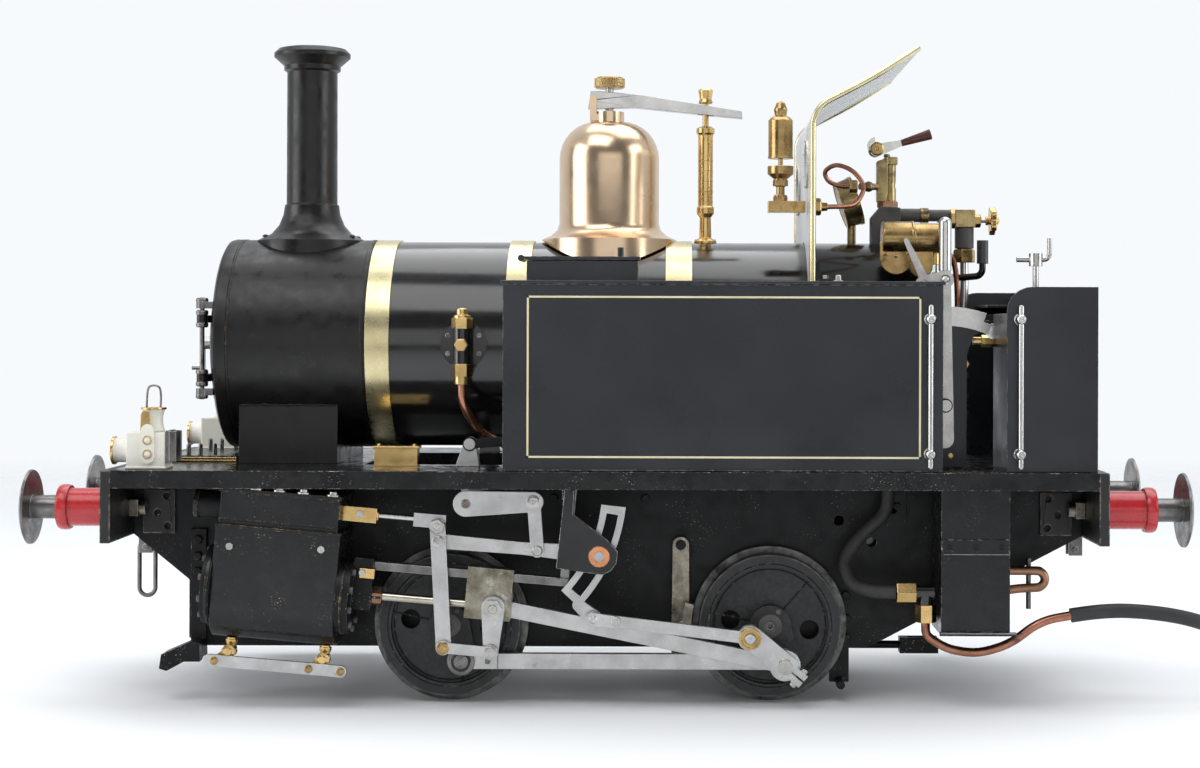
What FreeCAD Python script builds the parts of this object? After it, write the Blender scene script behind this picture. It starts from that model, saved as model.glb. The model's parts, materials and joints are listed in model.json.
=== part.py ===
"""Live steam tank engine for 3 1/2 inch gauge: four coupled wheels, outside cylinders, side tanks.

Frame: millimetres, +Z up, -X is the front of the engine, -Y is its left side.
Origin: midway between the buffer faces, on the centre line, level with the bottoms of the wheel flanges.
Most of the motion is drawn for the right side (+Y) and mirrored for the left, each at its own crank angle.
"""

import FreeCAD, Part

import math
import os

V = FreeCAD.Vector

# ---- driving dimensions -------------------------------------------------------------------------
AXLE_Z = 28.5                  # axle height above the flange bottoms
REAR_AXLE_X = 60.0
FRONT_AXLE_X = -57.5
TREAD_R = 26.0
FLANGE_R = 28.5
WHEEL_IN, WHEEL_OUT = 41.3, 50.8   # inner and outer wheel faces, from the centre line
AXLE_R = 4.75
CRANK_THROW = 13.5
CRANK_PIN_R = 2.5
LEFT_CRANK_DEG = -69.0         # crank angles, from straight back and turning upwards
RIGHT_CRANK_DEG = -159.0
RUN = 0.05                     # radial running clearance of the pivots

FRAME_IN, FRAME_OUT = 36.5, 39.5
FRAME_TOP = 79.5
DECK_Z = 86.2                  # top of the running boards
DECK_T = 1.5
DECK_HALF = 73.0
BEAM_FRONT_X, BEAM_REAR_X, BEAM_T = -179.8, 179.8, 3.6
LINK_PIN = (-180.8, 51.8)      # cross pin of the front coupling link
BEAM_BOTTOM = 60.2

BOILER_Z = 131.0
SMOKEBOX_R, BOILER_R, BAND_R = 40.2, 39.6, 40.3
SMOKEBOX_X0, SMOKEBOX_X1 = -148.0, -91.0
BARREL_X1 = 97.0
BACKHEAD_X = 118.0
FIRE_HOLE_Z, FIRE_HOLE_R = 108.0, 9.0
CHIMNEY_X = -117.0
DOME_X = -1.0
BALANCE_X = 36.5               # spring balance of the safety valve
FULCRUM = (-7.2, 226.0)        # pin that its lever turns on

TANK_X0, TANK_X1 = -36.7, 120.6
TANK_IN, TANK_OUT = 49.0, 70.6
TANK_TOP = 153.2
BUNKER_X0, BUNKER_X1 = 143.4, 176.0

SLOPE_DEG = 4.8                # the cylinders' slope, down towards the driving axle
CYL_Y = 62.1                   # piston rod, from the centre line
CYL_MID = -116.5               # middle of the bore, before the slope is applied
BORE_R = 8.73
CON_ROD_L = 107.0
GUIDE_UP = 11.0                # guide bar centre above the piston rod
PISTON_BACK = 69.5             # piston centre ahead of the gudgeon pin

LEVER_PIVOT = (-59.8, 60.6)    # combination lever, on the radius rod
LEVER_DOWN, LEVER_UP = 37.8, 5.6
UNION_L = 17.0
DROP = (-0.8, -15.6)           # drop arm pin from the gudgeon pin
TRUNNION = (-2.0, 55.8)        # expansion link
LINK_TAIL = 22.4
LINK_SET = 20.0                 # the slotted part's lean from its tail
ECC_ROD_L = 56.4
ECC_THROW = 8.2
ECC_OFFSET_DEG = -99.0         # return crank pin, from the main crank
WEIGHSHAFT = (-49.8, 74.4)
LIFT_ARM_L = 24.1
REACH_PIN = (-50.6, 94.5)
LEVER_FOOT = (124.5, 96.8)     # reversing lever pivot
LEVER_REACH = 12.4             # reach rod pin above that pivot

# Planes of the motion, from the centre line: (inner face, outer face).
COUPLING_ROD_Y = (52.6, 55.4)
CON_ROD_Y = (60.7, 63.5)
BLOCK_Y = (57.8, 66.0)
SLOT_Y = (60.4, 63.8)
RETURN_CRANK_Y = (64.0, 66.6)
JOURNAL_IN = 57.6              # inner end of the driving journal, clear of the wheel's own pin
DROP_ARM_Y = (66.0, 67.9)
LEVER_Y = (66.2, 67.9)
UNION_Y = (68.2, 69.8)
RADIUS_ROD_Y = (63.6, 65.8)
LINK_Y = (66.2, 68.4)
ECC_ROD_Y = (68.9, 70.9)
BRACKET_Y = (69.0, 71.2)
LIFT_LINK_Y = (66.0, 67.3)
LIFT_ARM_Y = (67.6, 69.6)

BRAKE_PIVOT, BRAKE_BEAM = (27.2, 57.3), (27.2, 14.2)
BUFFER_Y, BUFFER_Z = 44.0, 70.7
SPIGOT_R = 2.6
BUFFER_X = 214.6               # buffer faces from the middle of the engine


# ---- shape helpers ------------------------------------------------------------------------------
def box(x0, x1, y0, y1, z0, z1):
    return Part.makeBox(x1 - x0, y1 - y0, z1 - z0, V(x0, y0, z0))


def cyl_x(x0, x1, y, z, r):
    return Part.makeCylinder(r, x1 - x0, V(x0, y, z), V(1, 0, 0))


def cyl_y(y0, y1, p, r):
    return Part.makeCylinder(r, y1 - y0, V(p[0], y0, p[1]), V(0, 1, 0))


def cyl_z(z0, z1, x, y, r):
    return Part.makeCylinder(r, z1 - z0, V(x, y, z0), V(0, 0, 1))


def hex_x(x0, x1, y, z, r):
    points = [V(x0, y + r * math.cos(k * math.pi / 3), z + r * math.sin(k * math.pi / 3)) for k in range(7)]
    return Part.Face(Part.makePolygon(points)).extrude(V(x1 - x0, 0, 0))


def hex_y(y0, y1, p, r):
    corners = [polar(p, r, 60 * k) for k in range(7)]
    return Part.Face(Part.makePolygon([V(x, y0, z) for x, z in corners])).extrude(V(0, y1 - y0, 0))


def hex_z(z0, z1, x, y, r):
    points = [V(x + r * math.cos(k * math.pi / 3), y + r * math.sin(k * math.pi / 3), z0) for k in range(7)]
    return Part.Face(Part.makePolygon(points)).extrude(V(0, 0, z1 - z0))


def plate(points, y0, y1):
    """A flat plate in the XZ plane, given by its corners, from y0 to y1."""
    corners = [V(x, y0, z) for x, z in points]
    return Part.Face(Part.makePolygon(corners + corners[:1])).extrude(V(0, y1 - y0, 0))


def turned(points, x, y, z=0.0):
    """A solid of revolution about a vertical axis, from (radius, height) points."""
    corners = [V(x + r, y, z + h) for r, h in points]
    face = Part.Face(Part.makePolygon(corners + corners[:1]))
    return face.revolve(V(x, y, z), V(0, 0, 1), 360)


def turned_x(points, y, z):
    """A solid of revolution about a line along X, from (x, radius) points."""
    corners = [V(x, y, z + r) for x, r in points]
    face = Part.Face(Part.makePolygon(corners + corners[:1]))
    return face.revolve(V(0, y, z), V(1, 0, 0), 360)


def link_plate(p, q, rp, rq, y0, y1, half=None):
    """A link with round ends of radius rp and rq. With half, its shank is that half-width all along."""
    dx, dz = q[0] - p[0], q[1] - p[1]
    length = math.hypot(dx, dz)
    nx, nz = -dz / length, dx / length
    wp, wq = (half, half) if half else (rp, rq)
    shank = plate(
        [(p[0] + nx * wp, p[1] + nz * wp), (q[0] + nx * wq, q[1] + nz * wq),
         (q[0] - nx * wq, q[1] - nz * wq), (p[0] - nx * wp, p[1] - nz * wp)], y0, y1)
    return shank.fuse([cyl_y(y0, y1, p, rp), cyl_y(y0, y1, q, rq)]).removeSplitter()


def bent_tube(route, r, share=0.45):
    """A round bar along straight runs joined by tangent arcs."""
    points = [V(*p) for p in route]
    edges, radii, start = [], [], points[0]
    for before, here, after in zip(points, points[1:], points[2:]):
        a, b = before - here, after - here
        turn = math.pi - a.getAngle(b)
        radius = share * min(a.Length, b.Length) / math.tan(turn / 2)
        cut = radius * math.tan(turn / 2)
        a.normalize()
        b.normalize()
        p, q = here + a * cut, here + b * cut
        bisector = a + b
        bisector.normalize()
        middle = here + bisector * (radius / math.cos(turn / 2) - radius)
        edges += [Part.LineSegment(start, p).toShape(), Part.Arc(p, middle, q).toShape()]
        radii.append(round(radius, 1))
        start = q
    edges.append(Part.LineSegment(start, points[-1]).toShape())
    wire = Part.Wire(edges)
    ring = Part.Wire(Part.makeCircle(r, points[0], points[1] - points[0]))
    return wire.makePipeShell([ring], True, True), radii, wire.Length


def mirror(shape):
    """The same piece on the other side of the engine."""
    return shape.mirror(V(0, 0, 0), V(0, 1, 0))


def both(shapes):
    return list(shapes) + [mirror(s) for s in shapes]


def sloped(shape):
    """Turns a piece drawn level about the driving axle into line with the cylinders."""
    out = shape.copy()
    out.rotate(V(REAR_AXLE_X, 0, AXLE_Z), V(0, 1, 0), SLOPE_DEG)
    return out


def turned_about(shape, p, degrees):
    out = shape.copy()
    out.rotate(V(p[0], 0, p[1]), V(0, 1, 0), degrees)
    return out


def polar(p, r, degrees):
    return (p[0] + r * math.cos(math.radians(degrees)), p[1] + r * math.sin(math.radians(degrees)))


def meet(p, rp, q, rq, side):
    """Where the circles about p and q cross, on the given side of the line from p to q."""
    dx, dz = q[0] - p[0], q[1] - p[1]
    d = math.hypot(dx, dz)
    along = (rp * rp - rq * rq + d * d) / (2 * d)
    off = side * math.sqrt(rp * rp - along * along)
    return (p[0] + (along * dx - off * dz) / d, p[1] + (along * dz + off * dx) / d)


# ---- the motion's pivots at one crank angle -----------------------------------------------------
def pivots(crank_deg):
    slope = math.radians(SLOPE_DEG)
    axle = (REAR_AXLE_X, AXLE_Z)
    pin = polar(axle, CRANK_THROW, crank_deg)
    rel = (pin[0] - axle[0], pin[1] - axle[1])
    along = rel[0] * math.cos(slope) - rel[1] * math.sin(slope)
    off = rel[0] * math.sin(slope) + rel[1] * math.cos(slope)
    travel = along - math.sqrt(CON_ROD_L ** 2 - off ** 2)
    gudgeon = (axle[0] + travel * math.cos(slope), axle[1] - travel * math.sin(slope))
    drop = (gudgeon[0] + DROP[0], gudgeon[1] + DROP[1])
    foot = meet(LEVER_PIVOT, LEVER_DOWN, drop, UNION_L, -1)
    lean = math.atan2(foot[0] - LEVER_PIVOT[0], LEVER_PIVOT[1] - foot[1])
    top = (LEVER_PIVOT[0] - LEVER_UP * math.sin(lean), LEVER_PIVOT[1] + LEVER_UP * math.cos(lean))
    ecc = polar(axle, ECC_THROW, crank_deg + ECC_OFFSET_DEG)
    tail = meet(TRUNNION, LINK_TAIL, ecc, ECC_ROD_L, -1)
    return {"pin": pin, "front_pin": (pin[0] - REAR_AXLE_X + FRONT_AXLE_X, pin[1]), "gudgeon": gudgeon,
            "travel": travel, "drop": drop, "foot": foot, "top": top, "lean": math.degrees(lean),
            "ecc": ecc, "tail": tail}


# ---- frames and platework -----------------------------------------------------------------------
def main_frames():
    outline = [(-176.2, FRAME_TOP), (-176.2, 60.5), (-155.4, 43.5), (-155.4, 22.0), (-148.5, 19.0),
               (97.0, 19.0), (176.2, 60.5), (176.2, FRAME_TOP)]
    side = plate(outline, FRAME_IN, FRAME_OUT)
    for x in (FRONT_AXLE_X, REAR_AXLE_X):
        side = side.cut(box(x - 8.0, x + 8.0, FRAME_IN - 1, FRAME_OUT + 1, 18.0, 38.0))
    side = side.cut(cyl_y(FRAME_IN - 1, FRAME_OUT + 1, WEIGHSHAFT, 2.5 + RUN))
    side = side.fuse(cyl_y(FRAME_OUT, FRAME_OUT + 5.4, BRAKE_PIVOT, 1.8)).removeSplitter()
    for x, z in ((86.0, 66.0), (98.0, 58.0), (-166.0, 66.0)):
        side = side.cut(cyl_y(FRAME_IN - 1, FRAME_OUT + 1, (x, z), 1.9))
    places = ((-152.0, 44.0, 78.0), (-88.0, 24.0, 66.0), (4.0, 24.0, 78.0), (150.0, 52.0, 78.0))
    stretchers = [box(x, x + 3.0, -FRAME_IN, FRAME_IN, z0, z1) for x, z0, z1 in places]
    guards = []
    strip = box(-154.3, -148.6, FRAME_OUT, FRAME_OUT + 2.2, 15.0, 62.5)
    foot = plate([(-154.3, 15.0), (-148.6, 15.0), (-148.6, 22.0), (-151.6, 22.4), (-162.6, 17.6),
                  (-163.4, 12.4), (-160.6, 11.6)], FRAME_OUT + 2.2, 53.0)
    guards.append(strip.fuse(foot).removeSplitter())
    return both([side]) + stretchers + both(guards) + axleboxes()


def axleboxes():
    boxes = []
    for x in (FRONT_AXLE_X, REAR_AXLE_X):
        block = box(x - 7.9, x + 7.9, FRAME_IN - 2.0, FRAME_OUT + 1.0, 19.5, 37.8)
        boxes.append(block.cut(cyl_y(FRAME_IN - 3, FRAME_OUT + 2, (x, AXLE_Z), AXLE_R + RUN)))
    keeps = [box(x - 12.0, x + 12.0, FRAME_IN, FRAME_OUT, 15.5, 18.8) for x in (FRONT_AXLE_X, REAR_AXLE_X)]
    return both(boxes + keeps)


def draw_hook():
    """The front drawhook with the fork and cross pin that its link hangs from."""
    hook = plate([(-180.2, 57.6), (-180.2, 74.0), (-186.6, 74.0), (-191.1, 71.0), (-191.1, 66.5),
                  (-188.1, 66.5), (-188.1, 69.5), (-185.1, 69.5), (-184.1, 66.0), (-186.0, 61.0),
                  (-184.6, 57.6)], -1.2, 1.2)
    crown = box(-183.4, -178.2, -3.6, 3.6, 57.4, 59.8)
    ears = [box(-183.4, -178.2, y, y + 1.2, 49.4, 57.4) for y in (-3.6, 2.4)]
    pin = cyl_y(-4.2, 4.2, LINK_PIN, 1.1)
    return hook.fuse([crown, pin] + ears).removeSplitter()


def buffer_beams():
    x = -BEAM_FRONT_X
    front = box(-x, -x + BEAM_T, -DECK_HALF, DECK_HALF, BEAM_BOTTOM, DECK_Z)
    for y in (-BUFFER_Y, BUFFER_Y):
        front = front.cut(cyl_x(-x - 1, -x + BEAM_T + 1, y, BUFFER_Z, SPIGOT_R + 0.1))
    gusset = box(-172.3, -160.4, FRAME_OUT, FRAME_OUT + 1.6, 60.8, 77.0)
    for gx, gz in ((-163.6, 74.6), (-167.0, 68.4), (-163.2, 63.6)):
        gusset = gusset.cut(cyl_y(FRAME_OUT - 1, FRAME_OUT + 3, (gx, gz), 1.2))
    ends = [front, draw_hook()] + both([gusset])
    return ends + [s.mirror(V(0, 0, 0), V(1, 0, 0)) for s in ends] + buffer_stocks()


def running_boards():
    top = DECK_Z
    under = DECK_Z - DECK_T
    x0, x1 = BEAM_FRONT_X + BEAM_T, BEAM_REAR_X - BEAM_T
    board = box(x0, x1, FRAME_IN, DECK_HALF - 1.5, under, top)
    valance = box(x0, x1, DECK_HALF - 1.5, DECK_HALF, 79.8, top)
    board = board.fuse(valance).removeSplitter()
    board = board.cut(box(-60.0, -40.0, 42.4, 48.2, under - 1, top + 1))
    ledge = box(x0, x1, FRAME_IN, FRAME_OUT, FRAME_TOP, under)
    front_deck = box(x0, -91.0, -FRAME_IN, FRAME_IN, under, top)
    cover = box(-166.0, -141.0, -25.0, 25.0, top, top + 2.4)
    footplate = box(BACKHEAD_X + 1.0, x1, -FRAME_IN, FRAME_IN, under, top)
    shell = box(120.2, 144.8, 43.0, 70.0, 28.0, FRAME_TOP + 0.2)
    inner = box(121.4, 143.6, 44.2, 68.8, 29.2, FRAME_TOP + 2)
    window = box(143.0, 146.0, 47.0, 66.0, 33.0, 57.0)
    steps = shell.cut(inner).cut(window)
    tread = box(119.6, 146.8, 70.0, 72.2, 28.0, 29.2)
    strip = box(120.6, 144.4, 70.0, 70.9, 57.0, 62.2)
    return both([board, ledge, steps.fuse([tread, strip]).removeSplitter()]) + [front_deck, cover, footplate]


# ---- boiler, smokebox and mountings -------------------------------------------------------------
def smokebox():
    wrapper = cyl_x(-142.5, SMOKEBOX_X1, 0, BOILER_Z, SMOKEBOX_R).cut(
        cyl_x(-143, SMOKEBOX_X1 + 1, 0, BOILER_Z, SMOKEBOX_R - 1.6))
    wrapper = wrapper.cut(cyl_z(BOILER_Z + 20, 180, CHIMNEY_X, 0, 7.6))
    ring = turned_x([(-148.0, 29.0), (-148.0, 38.2), (-147.0, 40.0), (-145.5, SMOKEBOX_R + 0.2),
                     (-142.5, SMOKEBOX_R + 0.2), (-142.5, 36.0), (-146.0, 36.0), (-146.0, 29.0)], 0, BOILER_Z)
    saddle = box(-138.5, -101.6, -33.0, 33.0, DECK_Z, 108.0).cut(
        cyl_x(-140, -100, 0, BOILER_Z, SMOKEBOX_R))
    saddle = saddle.cut(box(-136.5, -103.6, -31.0, 31.0, DECK_Z - 1, 109.0))
    back = cyl_x(-93.0, SMOKEBOX_X1, 0, BOILER_Z, SMOKEBOX_R - 1.6)
    lugs = []
    for z in (113.0, 145.5):
        arm = box(-153.6, -148.0, -34.6, -31.6, z - 1.3, z + 1.3)
        lugs.append(arm.fuse(cyl_z(z - 1.3, z + 1.3, -152.4, -33.0, 2.2)).removeSplitter())
    pin = cyl_z(110.2, 148.4, -152.4, -33.0, 0.9)
    lugs = [lug.cut(pin) for lug in lugs]
    return [wrapper, ring, back, saddle] + lugs + [pin]


def smokebox_door():
    face = -148.25
    disc = turned_x([(face, 0.0), (face, 30.5), (face - 1.2, 30.5), (face - 2.6, 27.0), (face - 4.2, 14.0),
                     (face - 4.6, 0.0)], 0, BOILER_Z)
    straps = []
    for z in (118.2, 140.3):
        knuckle = cyl_z(z - 1.4, z + 1.4, -152.4, -33.0, 2.0)
        strap = box(-153.4, -150.2, -33.0, 14.0, z - 1.4, z + 1.4)
        strap = strap.fuse(knuckle).cut(cyl_z(z - 3, z + 3, -152.4, -33.0, 0.9 + RUN))
        straps.append(strap.cut(disc))
    boss = cyl_x(-155.6, -152.0, 0, BOILER_Z, 3.2).cut(disc).cut(cyl_x(-157, -151, 0, BOILER_Z, 1.4 + RUN))
    return [disc.cut(cyl_x(-157, -151, 0, BOILER_Z, 1.4 + RUN)), boss] + straps


def door_dart():
    """The handle that locks the smokebox door."""
    spindle = cyl_x(-159.0, -151.5, 0, BOILER_Z, 1.4)
    handle = box(-160.4, -158.6, -1.3, 1.3, BOILER_Z - 11.0, BOILER_Z + 2.4)
    crank = cyl_x(-163.6, -160.4, 0, BOILER_Z - 9.4, 1.1)
    return [spindle.fuse([handle, crank, cyl_x(-158.6, -156.0, 0, BOILER_Z, 2.4)]).removeSplitter()]


def chimney():
    outline = [(7.5, 168.0), (21.0, 168.0), (21.0, 170.9), (15.5, 173.6), (12.6, 177.0), (11.0, 181.0),
               (10.4, 184.8), (9.8, 185.2), (9.7, 236.5), (10.9, 237.3), (10.9, 239.0), (12.0, 240.0),
               (14.7, 242.4), (14.7, 243.9), (13.0, 245.6), (10.6, 246.1), (7.5, 245.4)]
    stack = turned(outline, CHIMNEY_X, 0)
    skirt = turned([(7.5, 150.0), (21.0, 150.0), (21.0, 170.9), (7.5, 170.9)], CHIMNEY_X, 0)
    body = stack.fuse(skirt).removeSplitter()
    body = body.cut(cyl_x(-145.0, -89.0, 0, BOILER_Z, SMOKEBOX_R))
    return [max(body.Solids, key=lambda s: s.BoundBox.ZMax)]


def boiler_barrel():
    shell = cyl_x(SMOKEBOX_X1, BARREL_X1, 0, BOILER_Z, BOILER_R)
    return [shell.cut(cyl_x(SMOKEBOX_X1 - 1, BARREL_X1 + 1, 0, BOILER_Z, BOILER_R - 2.0))]


def boiler_bands():
    bands = []
    for x0, x1 in ((-90.6, -81.6), (-38.7, -29.7), (21.2, 31.2)):
        bands.append(cyl_x(x0, x1, 0, BOILER_Z, BAND_R).cut(cyl_x(x0 - 1, x1 + 1, 0, BOILER_Z, BOILER_R)))
    return bands


def firebox():
    wrapper = cyl_x(BARREL_X1, BACKHEAD_X, 0, BOILER_Z, BOILER_R).fuse(
        box(BARREL_X1, BACKHEAD_X, -BOILER_R, BOILER_R, DECK_Z + 0.4, BOILER_Z))
    throat = box(89.0, BACKHEAD_X, -33.0, 33.0, 46.0, DECK_Z + 0.4)
    hollow = box(BARREL_X1 - 1, BACKHEAD_X - 3.0, -30.0, 30.0, 92.0, 122.0)
    fire_hole = cyl_x(BACKHEAD_X - 6.0, BACKHEAD_X + 1, 0, FIRE_HOLE_Z, FIRE_HOLE_R)
    wrapper = wrapper.removeSplitter().cut(hollow).cut(fire_hole)
    lugs = [box(BACKHEAD_X, BACKHEAD_X + 3.6, -17.4, -13.6, z - 1.2, z + 1.2)
            for z in (FIRE_HOLE_Z - 7, FIRE_HOLE_Z + 7)]
    pin = cyl_z(FIRE_HOLE_Z - 8.6, FIRE_HOLE_Z + 8.6, BACKHEAD_X + 2.2, -15.5, 0.8)
    return [wrapper, throat, pin] + [lug.cut(pin) for lug in lugs]


def fire_door():
    x = BACKHEAD_X
    disc = cyl_x(x + 0.5, x + 2.0, 0, FIRE_HOLE_Z, FIRE_HOLE_R + 1.6)
    strap = box(x + 2.0, x + 3.2, -15.5, 6.0, FIRE_HOLE_Z - 1.5, FIRE_HOLE_Z + 1.5)
    knuckle = cyl_z(FIRE_HOLE_Z - 4.0, FIRE_HOLE_Z + 4.0, x + 2.2, -15.5, 1.7)
    knob = cyl_x(x + 3.2, x + 8.0, 7.4, FIRE_HOLE_Z, 1.2).fuse(cyl_x(x + 2.0, x + 3.2, 7.4, FIRE_HOLE_Z, 2.0))
    door = disc.fuse([strap, knuckle, knob]).removeSplitter()
    return [door.cut(cyl_z(FIRE_HOLE_Z - 5, FIRE_HOLE_Z + 5, x + 2.2, -15.5, 0.8 + RUN))]


def dome():
    turns = [k * math.pi / 16 for k in range(9)]
    arc = [(5.7 + 13.7 * math.cos(t), 203.0 + 14.5 * math.sin(t)) for t in turns]
    base = [(0.0, 160.0), (26.2, 160.0), (26.2, 171.6), (22.6, 173.2), (20.2, 175.4), (19.4, 178.0)]
    outline = base + arc + [(5.7, 221.5), (0.0, 221.5)]
    body = turned(outline, DOME_X, 0).cut(cyl_x(-40, 40, 0, BOILER_Z, BAND_R + 0.05))
    body = max(body.Solids, key=lambda s: s.BoundBox.ZMax)
    nut = cyl_z(230.8, 235.2, DOME_X, 0, 5.9)
    stem = cyl_z(221.5, 230.8, DOME_X, 0, 1.6)
    posts = [box(FULCRUM[0] - 1.3, FULCRUM[0] + 1.3, y, y + 1.2, 219.0, 227.6) for y in (-4.1, 2.9)]
    yoke = box(FULCRUM[0] - 1.3, DOME_X - 4.0, -4.1, 4.1, 218.0, 220.6).fuse(posts)
    yoke = yoke.fuse(cyl_y(-4.4, 4.4, FULCRUM, 0.7)).removeSplitter()
    return [body.cut(yoke), stem, nut, yoke]


def safety_lever():
    pivot_x = DOME_X - 6.2
    cheek = plate([(pivot_x - 2.2, 222.6), (pivot_x - 1.2, 229.8), (pivot_x + 16.0, 228.4), (50.6, 221.8),
                   (50.8, 219.0), (pivot_x + 16.0, 223.2)], -2.6, 2.6)
    cheek = cheek.cut(cyl_z(215, 235, DOME_X, 0, 1.9))
    cheek = cheek.cut(cyl_y(-3, 3, FULCRUM, 0.7 + RUN))
    cheek = cheek.cut(box(33.5, 39.5, -1.5, 1.5, 215, 230))
    top = turned([(0.0, 224.9), (2.4, 224.9), (2.9, 225.4), (2.3, 226.8), (2.9, 230.0), (2.4, 230.6),
                  (0.0, 230.6)], BALANCE_X, 0)
    rod = cyl_z(206.0, 224.9, BALANCE_X, 0, 1.2)
    return [cheek, top.fuse(rod).removeSplitter()]


def spring_balance():
    foot = turned([(0.0, 170.0), (4.4, 170.0), (4.4, 171.4), (2.4, 172.6), (2.2, 180.5), (3.4, 182.0),
                   (3.4, 184.4), (2.9, 185.0), (2.9, 212.6), (3.6, 213.4), (3.6, 215.2), (2.2, 216.0),
                   (0.0, 216.0)], BALANCE_X, 0)
    foot = foot.cut(cyl_z(200.0, 217.0, BALANCE_X, 0, 2.0))
    return [foot.cut(cyl_x(20, 50, 0, BOILER_Z, BOILER_R))]


def whistle():
    x, y = 64.3, -30.0
    bell = turned([(0.0, 201.2), (4.6, 201.2), (4.6, 215.6), (3.8, 216.6), (2.2, 217.4), (2.6, 219.6),
                   (1.6, 222.2), (0.0, 223.0)], x, y)
    stem = cyl_z(198.4, 201.2, x, y, 0.9)
    cup = turned([(0.0, 187.6), (1.6, 187.6), (1.6, 190.6), (2.6, 191.0), (2.6, 193.6), (4.9, 195.4),
                  (4.9, 198.4), (0.0, 198.4)], x, y)
    bracket = box(59.6, 73.6, y - 3.2, y + 3.2, 181.0, 185.2)
    bush = cyl_z(185.2, 187.6, x, y, 2.4)
    return [bell.fuse([stem, cup]).removeSplitter(), bracket, bush]


def weatherboard():
    t, bend_r, bend = 1.2, 11.0, (85.6, 211.5)
    turns = [180.0 - 63.5 * k / 8 for k in range(9)]
    outer = [(74.6, 153.4)] + [polar(bend, bend_r, a) for a in turns] + [(113.4, 240.6)]
    inner = [(113.9, 239.5)] + [polar(bend, bend_r - t, a) for a in reversed(turns)] + [(74.6 + t, 153.4)]
    sheet = plate(outer + inner, -51.0, 51.0)
    sheet = sheet.cut(cyl_x(70, 80, 0, BOILER_Z, BOILER_R + 0.3))
    for y0, y1 in ((-52.0, -48.7), (48.7, 52.0)):
        sheet = sheet.cut(box(70, 80, y0, y1, 150, TANK_TOP + 1.5))
    rings = []
    for y in (-27.0, 27.0):
        sheet = sheet.cut(cyl_x(70, 80, y, 193.0, 9.0) if y > 0 else cyl_x(70, 80, y, 199.5, 8.0))
        z, r = (193.0, 9.0) if y > 0 else (199.5, 8.0)
        ring = cyl_x(73.8, 76.6, y, z, r + 1.2).cut(cyl_x(70, 80, y, z, r - 0.4))
        rings.append(ring.cut(sheet))
    feet = [box(74.6 + t, 82.0, y0, y1, TANK_TOP + 1.3, TANK_TOP + 2.5).fuse(
        box(74.6 + t, 76.8 + t, y0, y1, TANK_TOP + 1.3, TANK_TOP + 9.0)).removeSplitter()
        for y0, y1 in ((49.4, 51.0), (-51.0, -49.4))]
    return [max(sheet.Solids, key=lambda s: s.Volume)] + rings + feet


# ---- tanks, bunkers and handrails ---------------------------------------------------------------
def tank_shell():
    t = 1.2
    outer = box(TANK_X0, TANK_X1, TANK_IN, TANK_OUT, DECK_Z, TANK_TOP)
    inner = box(TANK_X0 + t, TANK_X1 - t, TANK_IN + t, TANK_OUT - t, DECK_Z + t, TANK_TOP + 1)
    lid = box(TANK_X0 - 0.8, TANK_X1 + 0.8, TANK_IN, TANK_OUT + 0.8, TANK_TOP, TANK_TOP + 1.2)
    return outer.cut(inner), lid


def left_side_tank():
    shell, lid = tank_shell()
    filler = box(-28.6, 11.4, 52.0, 66.0, TANK_TOP + 1.2, 161.6).cut(box(-27.4, 10.2, 53.2, 64.8, 150, 170))
    lid = lid.cut(box(-27.4, 10.2, 53.2, 64.8, 150, 156))
    return [mirror(s) for s in (shell, lid, filler)]


def right_side_tank():
    return list(tank_shell())


def filler_lid():
    lid = box(-29.4, 12.2, 51.4, 66.6, 161.9, 163.1)
    hinge = cyl_y(52.0, 66.0, (-30.6, 162.5), 1.2)
    leaf = box(-30.6, -29.4, 54.0, 64.0, 161.9, 163.1)
    knob = cyl_z(163.1, 166.6, 5.0, 59.0, 1.1)
    lug = lid.fuse([leaf, hinge, knob]).removeSplitter()
    return [mirror(lug)]


def coal_bunkers():
    t = 1.2
    r = 9.0
    arc = [polar((BUNKER_X0 + r, 152.6 - r), r, 180.0 - 11.25 * k) for k in range(9)]
    outline = [(BUNKER_X0, DECK_Z)] + arc + [(BUNKER_X1, 152.6), (BUNKER_X1, DECK_Z)]
    side = plate(outline, TANK_OUT - t, TANK_OUT)
    front = box(BUNKER_X0, BUNKER_X0 + t, 38.0, TANK_OUT - t, DECK_Z, 143.0)
    inner = box(BUNKER_X0 + t, BUNKER_X1 - t, 38.0, 38.0 + t, DECK_Z, 143.0)
    back = box(BUNKER_X1 - t, BUNKER_X1, -TANK_OUT + t, TANK_OUT - t, DECK_Z, 152.6)
    top = box(BUNKER_X0 + r, BUNKER_X1 - t, 38.0, TANK_OUT - t, 146.0, 147.2)
    return both([side, front, inner, top]) + [back]


def bypass_handle():
    x, y = 156.0, -56.0
    spindle = cyl_z(147.4, 160.4, x, y, 1.1)
    hub = cyl_z(160.4, 165.0, x, y, 2.5)
    cross = cyl_x(x - 7.0, x - 2.2, y, 162.8, 1.0)
    arm = bent_tube([(x + 2.2, y, 162.8), (x + 5.0, y, 162.8), (x + 5.0, y, 170.6)], 0.9, 0.8)[0]
    return [spindle, hub.fuse([cross, arm]).removeSplitter()]


def handrails():
    solids = []
    for x, z0, z1 in ((115.8, 88.2, 145.5), (147.9, 88.2, 145.5)):
        rail = cyl_z(z0, z1, x, 74.0, 1.0)
        knobs = [Part.makeSphere(2.0, V(x, 74.0, z)).fuse(cyl_y(TANK_OUT, 74.0, (x, z), 1.1)).removeSplitter()
                 for z in (z0 + 4.6, z1 - 4.6)]
        solids.append(rail.fuse(knobs).removeSplitter())
    return both(solids)


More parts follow.
